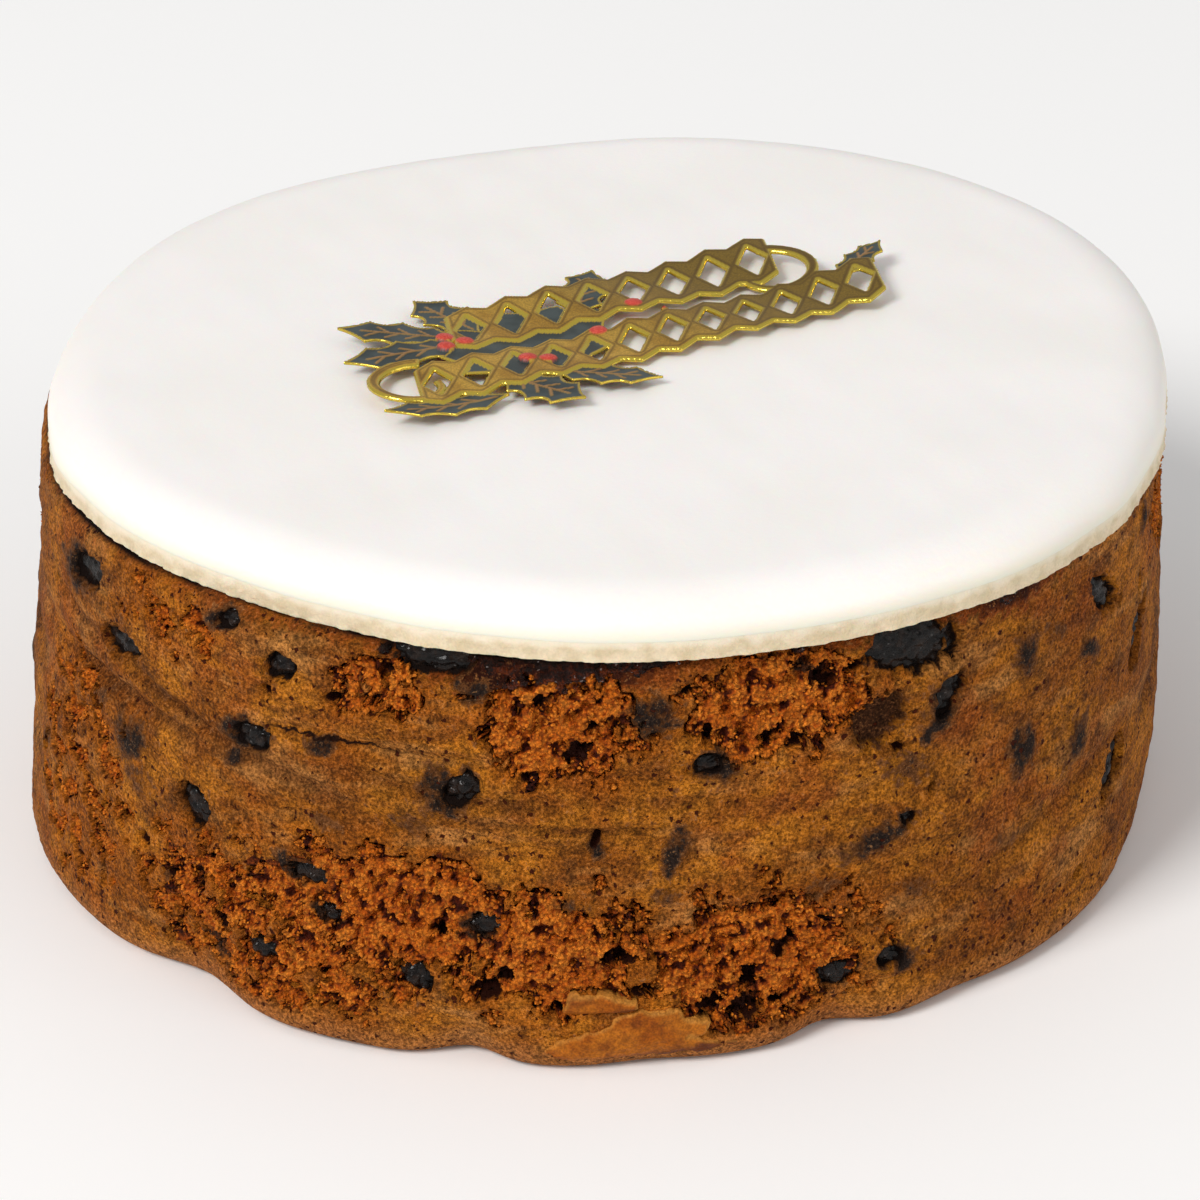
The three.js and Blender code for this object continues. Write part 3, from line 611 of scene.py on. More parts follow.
class Finish(Wiring):
    """A material with one Principled shader."""

    def __init__(self, name, **settings):
        self.material = bpy.data.materials.new(name)
        self.material.use_nodes = True
        super().__init__(self.material.node_tree)
        self.shader = self.tree.nodes["Principled BSDF"]
        for key, value in settings.items():
            self.shader.inputs[key.replace("_", " ")].default_value = value
        self.place = self.out(self.add("ShaderNodeTexCoord"), "Object")

    def mark(self, name):
        return self.out(self.add("ShaderNodeAttribute", attribute_name=name), "Fac")

    def blend(self, share, first, second):
        node = self.add("ShaderNodeMix", {0: share, 6: first, 7: second}, data_type="RGBA")
        return self.out(node, 2)

    def layered(self, colour, *layers):
        """Blends colours over one another, each given by its share and its three screen values."""
        for share, *values in layers:
            colour = self.blend(share, colour, linear(*values))
        return colour

    def set(self, **links):
        for key, value in links.items():
            self.put(self.shader.inputs[key.replace("_", " ")], value)

    def ragged(self, field, broad, broad_share, fine, fine_share):
        """A field with two noises added to it, each from -0.5 to 0.5 times its share."""
        for noise, share in ((broad, broad_share), (fine, fine_share)):
            field = self.plus(field, self.times(self.minus(noise, 0.5), share))
        return field

    def pits(self, size, radius, share):
        """Small uneven spots, 1 inside, in that share of cells of the given size."""
        stirred = self.swirl(self.place, 1.6 / size)
        bent = self.vector("ADD", self.place, self.scaled(stirred, 1.1 * size))
        cell = self.add("ShaderNodeTexVoronoi", {"Vector": bent, "Scale": 1 / size})
        inside = self.ramp(self.out(cell, "Distance"), radius * 0.6, radius, 1.0, 0.0)
        parts = self.add("ShaderNodeSeparateColor", {"Color": self.out(cell, "Color")})
        return self.times(inside, self.math("LESS_THAN", self.out(parts), share))

    def bump(self, height, distance):
        self.set(Normal=self.out(self.add("ShaderNodeBump", {"Height": height, "Distance": distance})))


def baked_skin_finish():
    """Fine-grained brown crust with small pits, dark where fruit lies under it or jam has soaked in, and with
    painted shade, highlights and sheen.
    """
    skin = Finish("baked_skin", Specular_IOR_Level=0.07, Roughness=0.7)
    streaked = skin.vector("MULTIPLY", skin.place, (0.4, 0.4, 1.4))
    elsewhere = skin.vector("ADD", skin.place, (0.3, 0, 0))
    broad = skin.noise(skin.place, 11 * MM, 3)
    streaks = skin.noise(streaked, 2.6 * MM, 4, 0.6)
    painted_sheen = skin.noise(streaked, 7 * MM, 3, 0.6)
    smudge = skin.noise(skin.place, 6 * MM, 3, 0.6)
    warm = skin.noise(elsewhere, 13 * MM, 3, 0.6)
    patchy = skin.noise(skin.place, 1.4 * MM, 3, 0.65)
    grain = skin.noise(skin.place, 0.4 * MM, 3, 0.7)

    def edged(name, patchy_share, grain_share, low, high):
        """A mark with a ragged edge, as a share from 0 to 1."""
        field = skin.ragged(skin.mark(name), patchy, patchy_share, grain, grain_share)
        return skin.ramp(field, low, high)

    colour = skin.layered(
        linear(136, 75, 17),
        (skin.ramp(broad, 0.38, 0.62), 172, 104, 25),
        # Pale pinkish bands: painted sheen
        (skin.ramp(painted_sheen, 0.5, 0.68, 0, 0.75), 172, 116, 60),
        (skin.ramp(streaks, 0.46, 0.64, 0, 0.7), 112, 60, 17),
        (skin.ramp(warm, 0.5, 0.66, 0, 0.6), 140, 68, 20),
        (skin.ramp(smudge, 0.54, 0.7, 0, 0.65), 80, 47, 19),
        (skin.mark("raw"), 162, 84, 14),
        (skin.mark("foot"), 162, 104, 56),
        # Darker in the creases: painted shade
        (skin.mark("crease"), 84, 44, 15),
        (edged("glaze", 0.9, 0.6, 0.1, 0.5), 122, 58, 15),
        (edged("glaze", 0.9, 0.6, 0.5, 0.9), 48, 18, 8),
        (edged("veil", 1.9, 0.9, 0.18, 0.46), 94, 56, 27),
        (edged("veil", 1.9, 0.9, 0.56, 0.78), 36, 26, 21),
        (edged("empty", 0.8, 0.5, -0.04, 0.16), 66, 38, 20),
        # Pale flecks on the grain's high points: painted highlights
        (skin.ramp(grain, 0.56, 0.72, 0, 0.3), 176, 124, 72),
    )
    colour = skin.scaled(colour, skin.ramp(patchy, 0.3, 0.7, 0.64, 1.42))
    colour = skin.scaled(colour, skin.ramp(grain, 0.34, 0.66, 0.44, 1.66))
    pits = skin.pits(1.0 * MM, 0.38, skin.mark("porous"))
    pits = skin.math("MAXIMUM", pits, skin.pits(0.6 * MM, 0.3, 0.05))
    # The dark line along the open crack is painted shade
    gap = skin.ragged(skin.mark("crack_gap"), patchy, 0.7, grain, 0.5)
    line = skin.ramp(skin.math("ABSOLUTE", gap), 0.1, 0.34, 1.0, 0.0)
    socket = edged("socket", 0.6, 0.4, 0.0, 0.16)
    colour = skin.layered(
        colour,
        # Dark pits and hollows: painted shade in the pits
        (pits, 66, 22, 4),
        (skin.mark("hollow"), 66, 22, 4),
        (skin.times(line, skin.mark("cracked")), 34, 15, 6),
        # Dark holes: painted shade in the holes
        (edged("deep", 0.7, 0.4, -0.02, 0.16), 40, 13, 4),
        # Dark sockets round the bare raisins: painted shade
        (socket, 24, 14, 10),
        # Dark line under the marzipan: painted shade
        (skin.mark("under"), 22, 10, 6),
    )
    skin.set(Base_Color=colour)
    height = skin.plus(skin.plus(grain, skin.times(patchy, 1.3)), skin.times(streaks, 1.4))
    height = skin.minus(skin.minus(height, skin.times(pits, 0.9)), skin.times(socket, 1.2))
    skin.bump(height, 0.65 * MM)
    return skin.material


def open_crumb_finish():
    """Open crumb: light orange-brown granules over dark red-brown hollows, the granules' tops lit and the
    hollows darkened as painted highlight and shade.
    """
    crumb = Finish("open_crumb", Roughness=0.7, Specular_IOR_Level=0.12)
    patchy = crumb.noise(crumb.place, 3 * MM, 2)
    grain = crumb.noise(crumb.place, 0.4 * MM, 3, 0.7)
    granule_size = 0.5 * MM
    stir = crumb.mixed_noise(crumb.place, 1 / granule_size)
    bent = crumb.vector("ADD", crumb.place, crumb.scaled(stir, 0.3 * MM))
    granules = crumb.add("ShaderNodeTexVoronoi", {"Vector": bent, "Scale": 1 / granule_size})
    granule = crumb.out(granules, "Distance")
    hollow = crumb.mark("hollow")
    colour = crumb.layered(
        linear(182, 94, 17),
        (crumb.ramp(patchy, 0.35, 0.65), 204, 118, 34),
        # Darker the lower a place lies: painted shade in the hollows
        (crumb.ramp(hollow, 0.0, 0.5), 156, 70, 10),
        (crumb.ramp(hollow, 0.4, 0.95), 64, 18, 2),
    )
    # Lighter granule tops and darker gaps between them: painted highlight and shade
    colour = crumb.scaled(colour, crumb.ramp(granule, 0.2, 0.85, 1.32, 0.6))
    colour = crumb.scaled(colour, crumb.ramp(grain, 0.34, 0.66, 0.7, 1.3))
    veil = crumb.ramp(crumb.ragged(crumb.mark("veil"), patchy, 0.5, grain, 0.8), 0.2, 0.8)
    # Dark holes: painted shade in the holes
    deep = crumb.ramp(crumb.ragged(crumb.mark("deep"), grain, 0.5, patchy, 0.5), 0.0, 0.25)
    crumb.set(Base_Color=crumb.layered(colour, (veil, 40, 25, 15), (deep, 40, 12, 3)))
    crumb.bump(crumb.minus(crumb.times(grain, 0.5), granule), 0.4 * MM)
    return crumb.material


def jam_finish():
    """Dark glossy jam with small bright specks that are painted glints, and painted shade towards the
    marzipan.
    """
    jam = Finish("jam", Roughness=0.2, Specular_IOR_Level=0.2)
    tone = jam.noise(jam.place, 1.1 * MM, 3, 0.65)
    fine = jam.noise(jam.place, 0.3 * MM, 3, 0.7)
    colour = jam.layered(
        linear(36, 12, 5), (jam.ramp(tone, 0.42, 0.66), 108, 44, 11), (jam.mark("near_top"), 20, 8, 5)
    )
    colour = jam.scaled(colour, jam.ramp(fine, 0.35, 0.65, 0.5, 1.4))
    # Pale specks: painted glints
    painted_glints = jam.times(jam.pits(0.62 * MM, 0.3, 0.2), 0.5)
    jam.set(Base_Color=jam.layered(colour, (painted_glints, 190, 176, 172)))
    jam.bump(jam.plus(tone, jam.times(fine, 0.6)), 1.6 * MM)
    return jam.material


def raisin_finish():
    """Nearly black skin with a low shine and a few pale glints."""
    raisin = Finish("raisin", Specular_IOR_Level=0.12, Coat_Weight=0.24, Coat_Roughness=0.14)
    tone = raisin.noise(raisin.place, 1.4 * MM, 3)
    fine = raisin.noise(raisin.place, 0.5 * MM, 3, 0.7)
    glints = raisin.times(raisin.pits(0.6 * MM, 0.3, 0.14), 0.45)
    colour = raisin.layered(
        linear(12, 8, 7), (raisin.ramp(tone, 0.42, 0.7), 40, 25, 16), (glints, 120, 116, 114)
    )
    raisin.set(Base_Color=colour, Roughness=raisin.ramp(fine, 0.35, 0.65, 0.25, 0.55))
    raisin.bump(fine, 0.9 * MM)
    return raisin.material


def crust_flap_finish():
    """Golden-brown crust with smudges, darker where it is toasted and pale along its lifted edge."""
    flap = Finish("crust_flap", Roughness=0.6, Specular_IOR_Level=0.12)
    broad = flap.noise(flap.place, 5 * MM, 3)
    fine = flap.noise(flap.place, 0.7 * MM, 3)
    grain = flap.noise(flap.place, 0.3 * MM, 2)
    smudge = flap.noise(flap.place, 3 * MM, 3, 0.6)
    colour = flap.layered(
        linear(146, 74, 9),
        (flap.ramp(broad, 0.35, 0.65), 168, 96, 22),
        (flap.ramp(smudge, 0.5, 0.68, 0, 0.7), 104, 48, 12),
        (flap.mark("toasted"), 98, 48, 18),
        (flap.mark("edge"), 182, 122, 50),
    )
    colour = flap.scaled(colour, flap.ramp(fine, 0.3, 0.7, 0.85, 1.12))
    colour = flap.scaled(colour, flap.ramp(grain, 0.35, 0.65, 0.8, 1.2))
    flap.set(Base_Color=colour)
    flap.bump(flap.plus(fine, flap.times(broad, 3.0)), 0.3 * MM)
    return flap.material


# Colour of both layers where the icing meets the marzipan
CREAM = (240, 226, 203)


def marzipan_finish():
    """Pale mottled paste."""
    paste = Finish("marzipan", Roughness=0.62, Subsurface_Weight=0.25, Subsurface_Scale=1.2 * MM)
    mottled = paste.noise(paste.place, 2.2 * MM, 3)
    grain = paste.noise(paste.place, 0.35 * MM, 3, 0.6)
    colour = paste.layered(linear(226, 208, 177), (paste.ramp(mottled, 0.35, 0.65), 212, 193, 158))
    colour = paste.scaled(colour, paste.ramp(grain, 0.3, 0.7, 0.93, 1.05))
    paste.set(Base_Color=paste.layered(colour, (paste.mark("cream"), *CREAM)))
    paste.bump(grain, 0.12 * MM)
    return paste.material


def icing_finish():
    """White icing with a cream tone low on its roll."""
    icing = Finish("icing", Roughness=0.42, Subsurface_Weight=0.3, Subsurface_Scale=2.2 * MM)
    broad = icing.ramp(icing.noise(icing.place, 24 * MM, 2), 0.35, 0.65)
    colour = icing.layered(linear(255, 250, 247), (broad, 252, 247, 243), (icing.mark("cream"), *CREAM))
    icing.set(Base_Color=colour)
    icing.bump(icing.noise(icing.place, 0.8 * MM, 3), 0.02 * MM)
    return icing.material


def foil_finish():
    """Stamped foil: matte gold fields with polished rims, dark green enamel and red berries."""
    foil = Finish("holly_foil")
    brushed = foil.noise(foil.place, 0.25 * MM, 2, 0.7)
    tone = foil.noise(foil.place, 4 * MM, 2)
    polish, enamel, berry = (foil.mark(mark) for mark in ("polish", "enamel", "berry"))
    gold = foil.layered(
        linear(182, 136, 42),
        (foil.ramp(tone, 0.35, 0.65), 212, 168, 66),
        (foil.mark("far_end"), 134, 106, 30),
    )
    gold = foil.scaled(gold, foil.ramp(brushed, 0.3, 0.7, 0.72, 1.2))
    gold = foil.layered(
        gold, (foil.mark("engraved"), 92, 66, 18), (polish, 226, 200, 84), (foil.mark("twig"), 172, 130, 84)
    )
    green = foil.layered(linear(42, 52, 52), (foil.ramp(tone, 0.4, 0.6), 60, 70, 70))
    red = foil.layered(linear(190, 56, 42), (foil.ramp(brushed, 0.4, 0.7), 216, 88, 72))
    colour = foil.blend(berry, foil.blend(enamel, gold, green), red)
    bare = foil.minus(1.0, foil.math("MAXIMUM", enamel, berry))
    metal = foil.times(bare, foil.plus(0.55, foil.times(polish, 0.4)))
    rough = foil.minus(0.42, foil.times(polish, 0.26))
    foil.set(Base_Color=colour, Metallic=metal, Roughness=rough)
    foil.bump(brushed, 0.03 * MM)
    return foil.material


# The cake's body

BODY_COLUMNS = 920
SIDE_ROWS = 86
FOOT_ROWS = 6
SHOULDER_ROWS = 5
INNER_RINGS = (60.0, 68.0)
UNDERCUT = 3.4


def body_profile():
    """Radius and height of each ring, from the first ring under the cake to the last on its top."""
    foot = FOOT_RADIUS - FOOT_ROUNDING
    shoulder = FOOT_RADIUS - SHOULDER_ROUNDING
    shoulder_height = CAKE_HEIGHT - SHOULDER_ROUNDING
    heights = np.linspace(FOOT_ROUNDING, shoulder_height, SIDE_ROWS + 1)[1:]
    return np.concatenate([
        [(radius, 0) for radius in (*INNER_RINGS, foot)],
        rounded_corner(foot, FOOT_ROUNDING, FOOT_ROUNDING, -90, 0, FOOT_ROWS),
        np.stack([np.full(SIDE_ROWS, FOOT_RADIUS), heights], -1),
        rounded_corner(shoulder, shoulder_height, SHOULDER_ROUNDING, 0, 90, SHOULDER_ROWS),
        [(radius, CAKE_HEIGHT) for radius in reversed(INNER_RINGS)],
    ])


def ragged_edges(place):
    """Two fine patterns that break up edges: one about 2 mm long and one below 1 mm."""
    fine = 0.75 * ripples(place, 2.4, 5) + 0.5 * ripples(place, 1.1, 6) + 0.3 * ripples(place, 0.6, 7)
    return fine, ripples(place, 1.2, 9)


def tear_edge(bearing, height, fine):
    """Where the skin ends and the open crumb begins, with a finely ragged edge."""
    upright = smooth(FOOT_ROUNDING, FOOT_ROUNDING + 1.5, height)
    upright = upright * fade(CAKE_HEIGHT - 2.6, CAKE_HEIGHT - 1.2, height + 0.8 * fine)
    return smooth(-0.07, 0.09, open_share(bearing, height, fine)) * upright


def cake_body():
    profile = body_profile()
    bearings = 360 * np.arange(BODY_COLUMNS) / BODY_COLUMNS - 180
    bearing, radius = np.meshgrid(bearings, profile[:, 0])
    height = np.broadcast_to(profile[:, 1][:, None], bearing.shape)
    place = side_point(bearing, height, side_radius(height))
    fine, finest = ragged_edges(place)
    broken = 0.8 * ripples(place, 2.4, 5) + 0.4 * finest
    veil, bulge, socket, socket_shade_mask, in_empty = fruit_marks(bearing, height, broken)
    hole, hole_shade_mask = hole_at(bearing, height, broken)
    edge = tear_edge(bearing, height, fine)
    raw = 0.6 * smooth(-0.5, 0.05, open_share(bearing, height, fine))
    gap, opened = crack_gap(bearing, height, finest)
    low_right = smooth(24, 44, bearing) * fade(90, 110, bearing) * fade(4, 16, height)
    porous = 0.05 + 0.16 * smooth(-0.2, 0.8, ripples(place, 16, 3)) + 0.4 * raw + 0.3 * low_right
    calm = fade(0.1, 0.6, edge) * smooth(60, 74, radius) * fade(0.2, 1, socket) * smooth(0.2, 2.5, height)
    creases, crease = fine_relief(bearing, height)
    relief = side_relief(bearing, height) + creases + bulge - UNDERCUT * edge
    sunk = np.maximum(socket, HOLE_DEPTH * hole) * (1 - edge)
    relief -= CRACK_DEPTH * opened * bell(gap / CRACK_WIDTH) + sunk
    relief += side_radius(height) - FOOT_RADIUS
    rounding = FOOT_RADIUS - FOOT_ROUNDING
    rings = side_point(bearing, height, radius + relief * smooth(rounding - RELIEF_GROWTH, rounding, radius))
    marks = {
        "veil": veil,
        "glaze": glaze_at(bearing, height, fine),
        # Where the painted shade inside the sockets lies
        "socket": socket_shade_mask,
        "empty": in_empty,
        # Where the painted shade inside the holes lies
        "deep": hole_shade_mask,
        "crack_gap": gap,
        "cracked": opened,
        # Where the painted shade under the marzipan's edge lies
        "under": smooth(-1.2, -0.7, height - CAKE_HEIGHT) * fade(0.1, 0.75, outside_layers(rings)),
        "foot": 0.7 * fade(1.5, 6, height),
        "calm": calm,
        # The painted shade in the creases
        "crease": 0.7 * np.clip(crease, 0, 1),
        "raw": raw,
        "porous": porous,
    }
    poles = [(0, 0, 0), (CAKE_LEAN, 0, CAKE_HEIGHT)]
    body = turned_piece("cake_body", rings, poles, **marks)
    return made_by_nodes(body, skin_relief_tree(), baked_skin_finish())


def skin_relief_tree():
    """Soft unevenness and small pits of the baked skin."""
    tree = GeometryTree("skin relief", **{"Swell": 0.4 * MM, "Grain": 0.16 * MM, "Pit depth": 0.7 * MM})
    place, outward = tree.surface()
    swell = tree.minus(tree.noise(place, 6 * MM, 3), 0.5)
    grain = tree.minus(tree.noise(place, 1.3 * MM, 2, 0.6), 0.5)
    pits = tree.times(tree.ramp(tree.noise(place, 1.9 * MM, 1), 0.68, 0.76), tree.mark("porous"))
    rise = tree.times(swell, tree.times(tree.given("Swell"), 2.0))
    rise = tree.plus(rise, tree.times(grain, tree.times(tree.given("Grain"), 2.0)))
    rise = tree.minus(rise, tree.times(pits, tree.given("Pit depth")))
    rise = tree.times(rise, tree.mark("calm"))
    moved = tree.moved(tree.given("Geometry"), tree.scaled(outward, rise))
    # The pits are stored as hollow, which the skin's finish darkens as painted shade
    return tree.end(tree.store(moved, "hollow", pits))


# The open crumb in the torn patches

CRUMB_CELL = 0.21
CRUMB_DIVE = 0.7
CRUMB_SINK = 0.35
FAN_SHARE = 0.86
FRONT_FROM = -90
FRONT_TO = 50


def grid_quads(kept):
    """The kept cells of a grid as quads, and the corner of the grid that each of their numbers stands for."""
    rows, columns = kept.shape
    number = np.arange((rows + 1) * (columns + 1)).reshape(rows + 1, columns + 1)
    quads = np.stack([number[:-1, :-1], number[:-1, 1:], number[1:, 1:], number[1:, :-1]], -1)[kept]
    used, quads = np.unique(quads, return_inverse=True)
    return used, quads.reshape(-1, 4)


def open_crumb(name, first, last, finish, tree):
    """The crumb of the torn patches between two bearings, a fine sheet that dives under the skin's edge."""
    bearings = np.arange(first, last, CRUMB_CELL / ARC)
    heights = np.arange(FOOT_ROUNDING + 0.2, CAKE_HEIGHT - 0.4, CRUMB_CELL)
    bearing, height = np.meshgrid(bearings, heights)
    fine, finest = ragged_edges(side_point(bearing, height, side_radius(height)))
    edge = tear_edge(bearing, height, fine)
    shown = edge > 0.0
    used, quads = grid_quads(shown[:-1, :-1] & shown[1:, :-1] & shown[:-1, 1:] & shown[1:, 1:])
    veil, _, socket, _, _ = fruit_marks(bearing, height, finest)
    hole, hole_shade_mask = hole_at(bearing, height, finest)
    radius = skin_radius(bearing, height) - shoulder_inset(height)
    radius -= CRUMB_SINK * smooth(0.3, 1.0, edge) + CRUMB_DIVE * fade(0.0, 0.25, edge)
    radius -= 0.7 * socket + 0.9 * HOLE_DEPTH * hole
    corners = side_point(bearing, height, radius).reshape(-1, 3)[used]
    apex, closing = closing_fan(corners, quads)
    marks = {"veil": 0.9 * veil, "deep": hole_shade_mask, "crumbly": smooth(0.0, 0.3, edge)}
    marks = {mark: np.append(values.ravel()[used], np.zeros(len(apex))) for mark, values in marks.items()}
    piece = add_piece(name, np.concatenate([corners, apex]), quads.tolist() + closing, **marks)
    return made_by_nodes(piece, tree, finish)


def rim_edges(quads):
    """The edges that only one quad has, in the order in which it runs along them."""
    edges = np.concatenate([quads[:, [i, (i + 1) % 4]] for i in range(4)])
    backward = set(map(tuple, edges[:, ::-1].tolist()))
    return np.array([edge for edge in edges.tolist() if tuple(edge) not in backward])


def closing_fan(corners, quads):
    """Closes every open edge of the sheet towards a point deep in the cake, one for each separate patch."""
    rim = rim_edges(quads).tolist()
    patch = patch_numbers(len(corners), rim)
    middles = {}
    for a, _ in rim:
        middles.setdefault(patch[a], []).append(corners[a])
    names = sorted(middles)
    apex = [np.mean(middles[n], axis=0) * (FAN_SHARE, FAN_SHARE, 1) for n in names]
    return np.array(apex), [(b, a, len(corners) + names.index(patch[a])) for a, b in rim]


def patch_numbers(count, rim):
    """The number of the closed rim that each corner belongs to."""
    patch = list(range(count))

    def root(i):
        while patch[i] != i:
            patch[i] = patch[patch[i]]
            i = patch[i]
        return i

    for a, b in rim:
        patch[root(a)] = root(b)
    return {a: root(a) for a, _ in rim}


def crumb_relief_tree():
    """Ragged clumps of crumb with deep hollows between them."""
    sizes = {"Clump": 2.4 * MM, "Grain": 0.66 * MM, "Clump relief": 1.1 * MM, "Grain relief": 0.85 * MM}
    pits = {"Pit spacing": 1.9 * MM, "Pit depth": 1.1 * MM}
    tree = GeometryTree("open crumb relief", **sizes, **pits)
    place, outward = tree.surface()
    stirred = tree.swirl(place, 1 / (0.9 * MM))
    bent = tree.vector("ADD", place, tree.scaled(stirred, 0.8 * MM))
    clumps = tree.sized_noise(place, "Clump", 4.0)
    grains = tree.minus(0.4, tree.sized_cells(bent, "Grain"))
    pits = tree.ramp(tree.sized_noise(bent, "Pit spacing", 1.0), 0.0, 0.13)
    rise = tree.times(clumps, tree.given("Clump relief"))
    rise = tree.plus(rise, tree.times(grains, tree.given("Grain relief")))
    rise = tree.minus(rise, tree.times(pits, tree.given("Pit depth")))
    offset = tree.vector("ADD", tree.scaled(outward, rise), tree.scaled(stirred, 0.5 * MM))
    moved = tree.moved(tree.given("Geometry"), tree.scaled(offset, tree.mark("crumbly")))
    # How low each place lies is stored as hollow, which the crumb's finish turns into painted shade
    return tree.end(tree.store(moved, "hollow", tree.ramp(rise, -0.95 * MM, 0.3 * MM, 1.0, 0.0)))


def shoulder_inset(height):
    """How far the rounded top edge draws in at a height."""
    above = np.clip(height - (CAKE_HEIGHT - SHOULDER_ROUNDING), 0, SHOULDER_ROUNDING)
    return SHOULDER_ROUNDING - np.sqrt(SHOULDER_ROUNDING**2 - above**2)


# Bare raisins

RAISIN_THICKNESS = 4.0
RAISIN_SINK = {BARE: 2.5, HALF: 2.4}
RAISIN_SHARE = {BARE: 1.12, HALF: 0.82}


def raisin_tree():
    """Wrinkled raisins, one at each point, with the size and turn that the point holds."""
    tree = GeometryTree("raisins", **{"Wrinkle": 0.3 * MM, "Crease spacing": 1.9 * MM})
    points = tree.out(tree.add("GeometryNodeMeshToPoints", {"Mesh": tree.given("Geometry")}))
    turn, half_size = (tree.mark(mark, "FLOAT_VECTOR") for mark in ("turn", "half_size"))
    balls = tree.balls(points, 5, turn, half_size)
    place, outward = tree.surface()
    bent = tree.vector("ADD", place, tree.scaled(tree.mixed_noise(place, 1 / (2 * MM)), 0.8 * MM))
    crease = tree.sized_cells(bent, "Crease spacing", "DISTANCE_TO_EDGE")
    lumps = tree.minus(tree.noise(place, 2.6 * MM, 2), 0.5)
    rise = tree.plus(tree.ramp(crease, 0.0, 0.3, -1.0, 0.25), lumps)
    rise = tree.times(rise, tree.given("Wrinkle"))
    return tree.end(tree.moved(balls, tree.scaled(outward, rise)))


def side_basis(bearing):
    """Turns a shape whose flat way up is +Z so that it faces out of the side."""
    angle = math.radians(bearing)
    along = Vector((math.cos(angle), math.sin(angle), 0))
    outward = Vector((math.sin(angle), -math.cos(angle), 0))
    return Matrix((along, Vector((0, 0, 1)), outward)).transposed()


def bare_raisins(name, fruits, finish, tree):
    """The raisins that show bare, wholly or at one end, each sunk in its socket."""
    points, sizes, turns = [], [], []
    for bearing, height, length, width, turn, look in fruits:
        if look not in RAISIN_SINK:
            continue
        share = RAISIN_SHARE[look]
        if look == HALF:
            shift = HALF_SHIFT * length
            bearing += shift * math.cos(math.radians(turn)) / ARC
            height += shift * math.sin(math.radians(turn))
        surface = float(skin_radius(np.array(bearing), np.array(height))) - shoulder_inset(height)
        points.append(side_point(bearing, height, surface - RAISIN_SINK[look]))
        sizes.append((share * length / 2 * MM, share * width / 2 * MM, RAISIN_THICKNESS / 2 * MM))
        turned = side_basis(bearing) @ Matrix.Rotation(math.radians(turn), 3, "Z")
        turns.append(tuple(turned.to_euler()))
    piece = add_piece(name, points, [])
    for mark, values in (("half_size", sizes), ("turn", turns)):
        layer = piece.data.attributes.new(mark, "FLOAT_VECTOR", "POINT")
        layer.data.foreach_set("vector", np.array(values, np.float32).ravel())
    return made_by_nodes(piece, tree, finish)


# Crumbs that sit loose on the open crumb

def loose_crumb_tree():
    """Small uneven crumbs strewn over a surface as densely as its mark crumbly says."""
    tree = GeometryTree("loose crumbs", **{"Per square metre": 6.0e5, "Seed": 4})
    inputs = {
        "Mesh": tree.given("Geometry"),
        "Density": tree.times(tree.mark("crumbly"), tree.given("Per square metre")),
        "Seed": tree.given("Seed"),
    }
    points = tree.out(tree.add("GeometryNodeDistributePointsOnFaces", inputs), "Points")
    balls = tree.balls(points, 1, tree.drawn(0.0, 6.283, 8), tree.drawn(0.12 * MM, 0.36 * MM, 7))
    place = tree.surface()[0]
    offset = tree.scaled(tree.swirl(place, 1 / (0.5 * MM)), 0.35 * MM)
    return tree.end(tree.store(tree.moved(balls, offset), "hollow", 0.0))


def loose_crumbs(name, ground, finish, tree):
    piece = bpy.data.objects.new(name, ground.data.copy())
    bpy.context.scene.collection.objects.link(piece)
    return made_by_nodes(piece, tree, finish)


# Sheets cut from a grid by a distance that is negative inside

def cut_sheet(u, v, distance):
    """Cells of a grid inside an outline, moved onto it at the rim: corners, quads, rim and grid corners."""
    cell = u[0, 1] - u[0, 0]
    slope_v, slope_u = np.gradient(distance, cell)
    inside = (distance[:-1, :-1] + distance[1:, :-1] + distance[:-1, 1:] + distance[1:, 1:]) < 0
    used, quads = grid_quads(inside)
    rim = rim_edges(quads)
    at = np.stack([u.ravel()[used], v.ravel()[used]], -1)
    far = distance.ravel()[used]
    steep = np.stack([slope_u.ravel()[used], slope_v.ravel()[used]], -1)
    steep /= np.maximum(np.linalg.norm(steep, axis=1), 0.3)[:, None]
    on_rim = np.unique(rim)
    step = np.clip(far[on_rim], -0.75 * cell, 0.75 * cell)
    at[on_rim] -= steep[on_rim] * step[:, None]
    return at, quads, rim, used


def sheet_piece(name, top, bottom, quads, rim, **marks):
    """A closed sheet from the corners of its two faces."""
    count = len(top)
    walls = [(b, a, a + count, b + count) for a, b in rim.tolist()]
    faces = quads.tolist() + (quads[:, ::-1] + count).tolist() + walls
    doubled = {mark: np.tile(values, 2) for mark, values in marks.items()}
    return add_piece(name, np.concatenate([top, bottom]), faces, **doubled)


def outline_distance(u, v, outline):
    """Signed distance to a closed outline, worked out near it and left large elsewhere."""
    outline = np.asarray(outline, float)
    margin = 3.0
    low, high = outline.min(0) - margin, outline.max(0) + margin
    near = (u > low[0]) & (u < high[0]) & (v > low[1]) & (v < high[1])
    x, y = u[near], v[near]
    best, inside = np.full(x.shape, 1e9), np.zeros(x.shape, bool)
    for (ax, ay), (bx, by) in zip(outline, np.roll(outline, -1, 0)):
        best = np.minimum(best, segment_distance(x, y, (ax, ay), (bx, by)))
        if ay != by:
            crossing = (bx - ax) * (y - ay) / (by - ay) + ax
            inside ^= ((ay > y) != (by > y)) & (x < crossing)
    distance = np.full(u.shape, margin)
    distance[near] = np.where(inside, -best, best)
    return distance


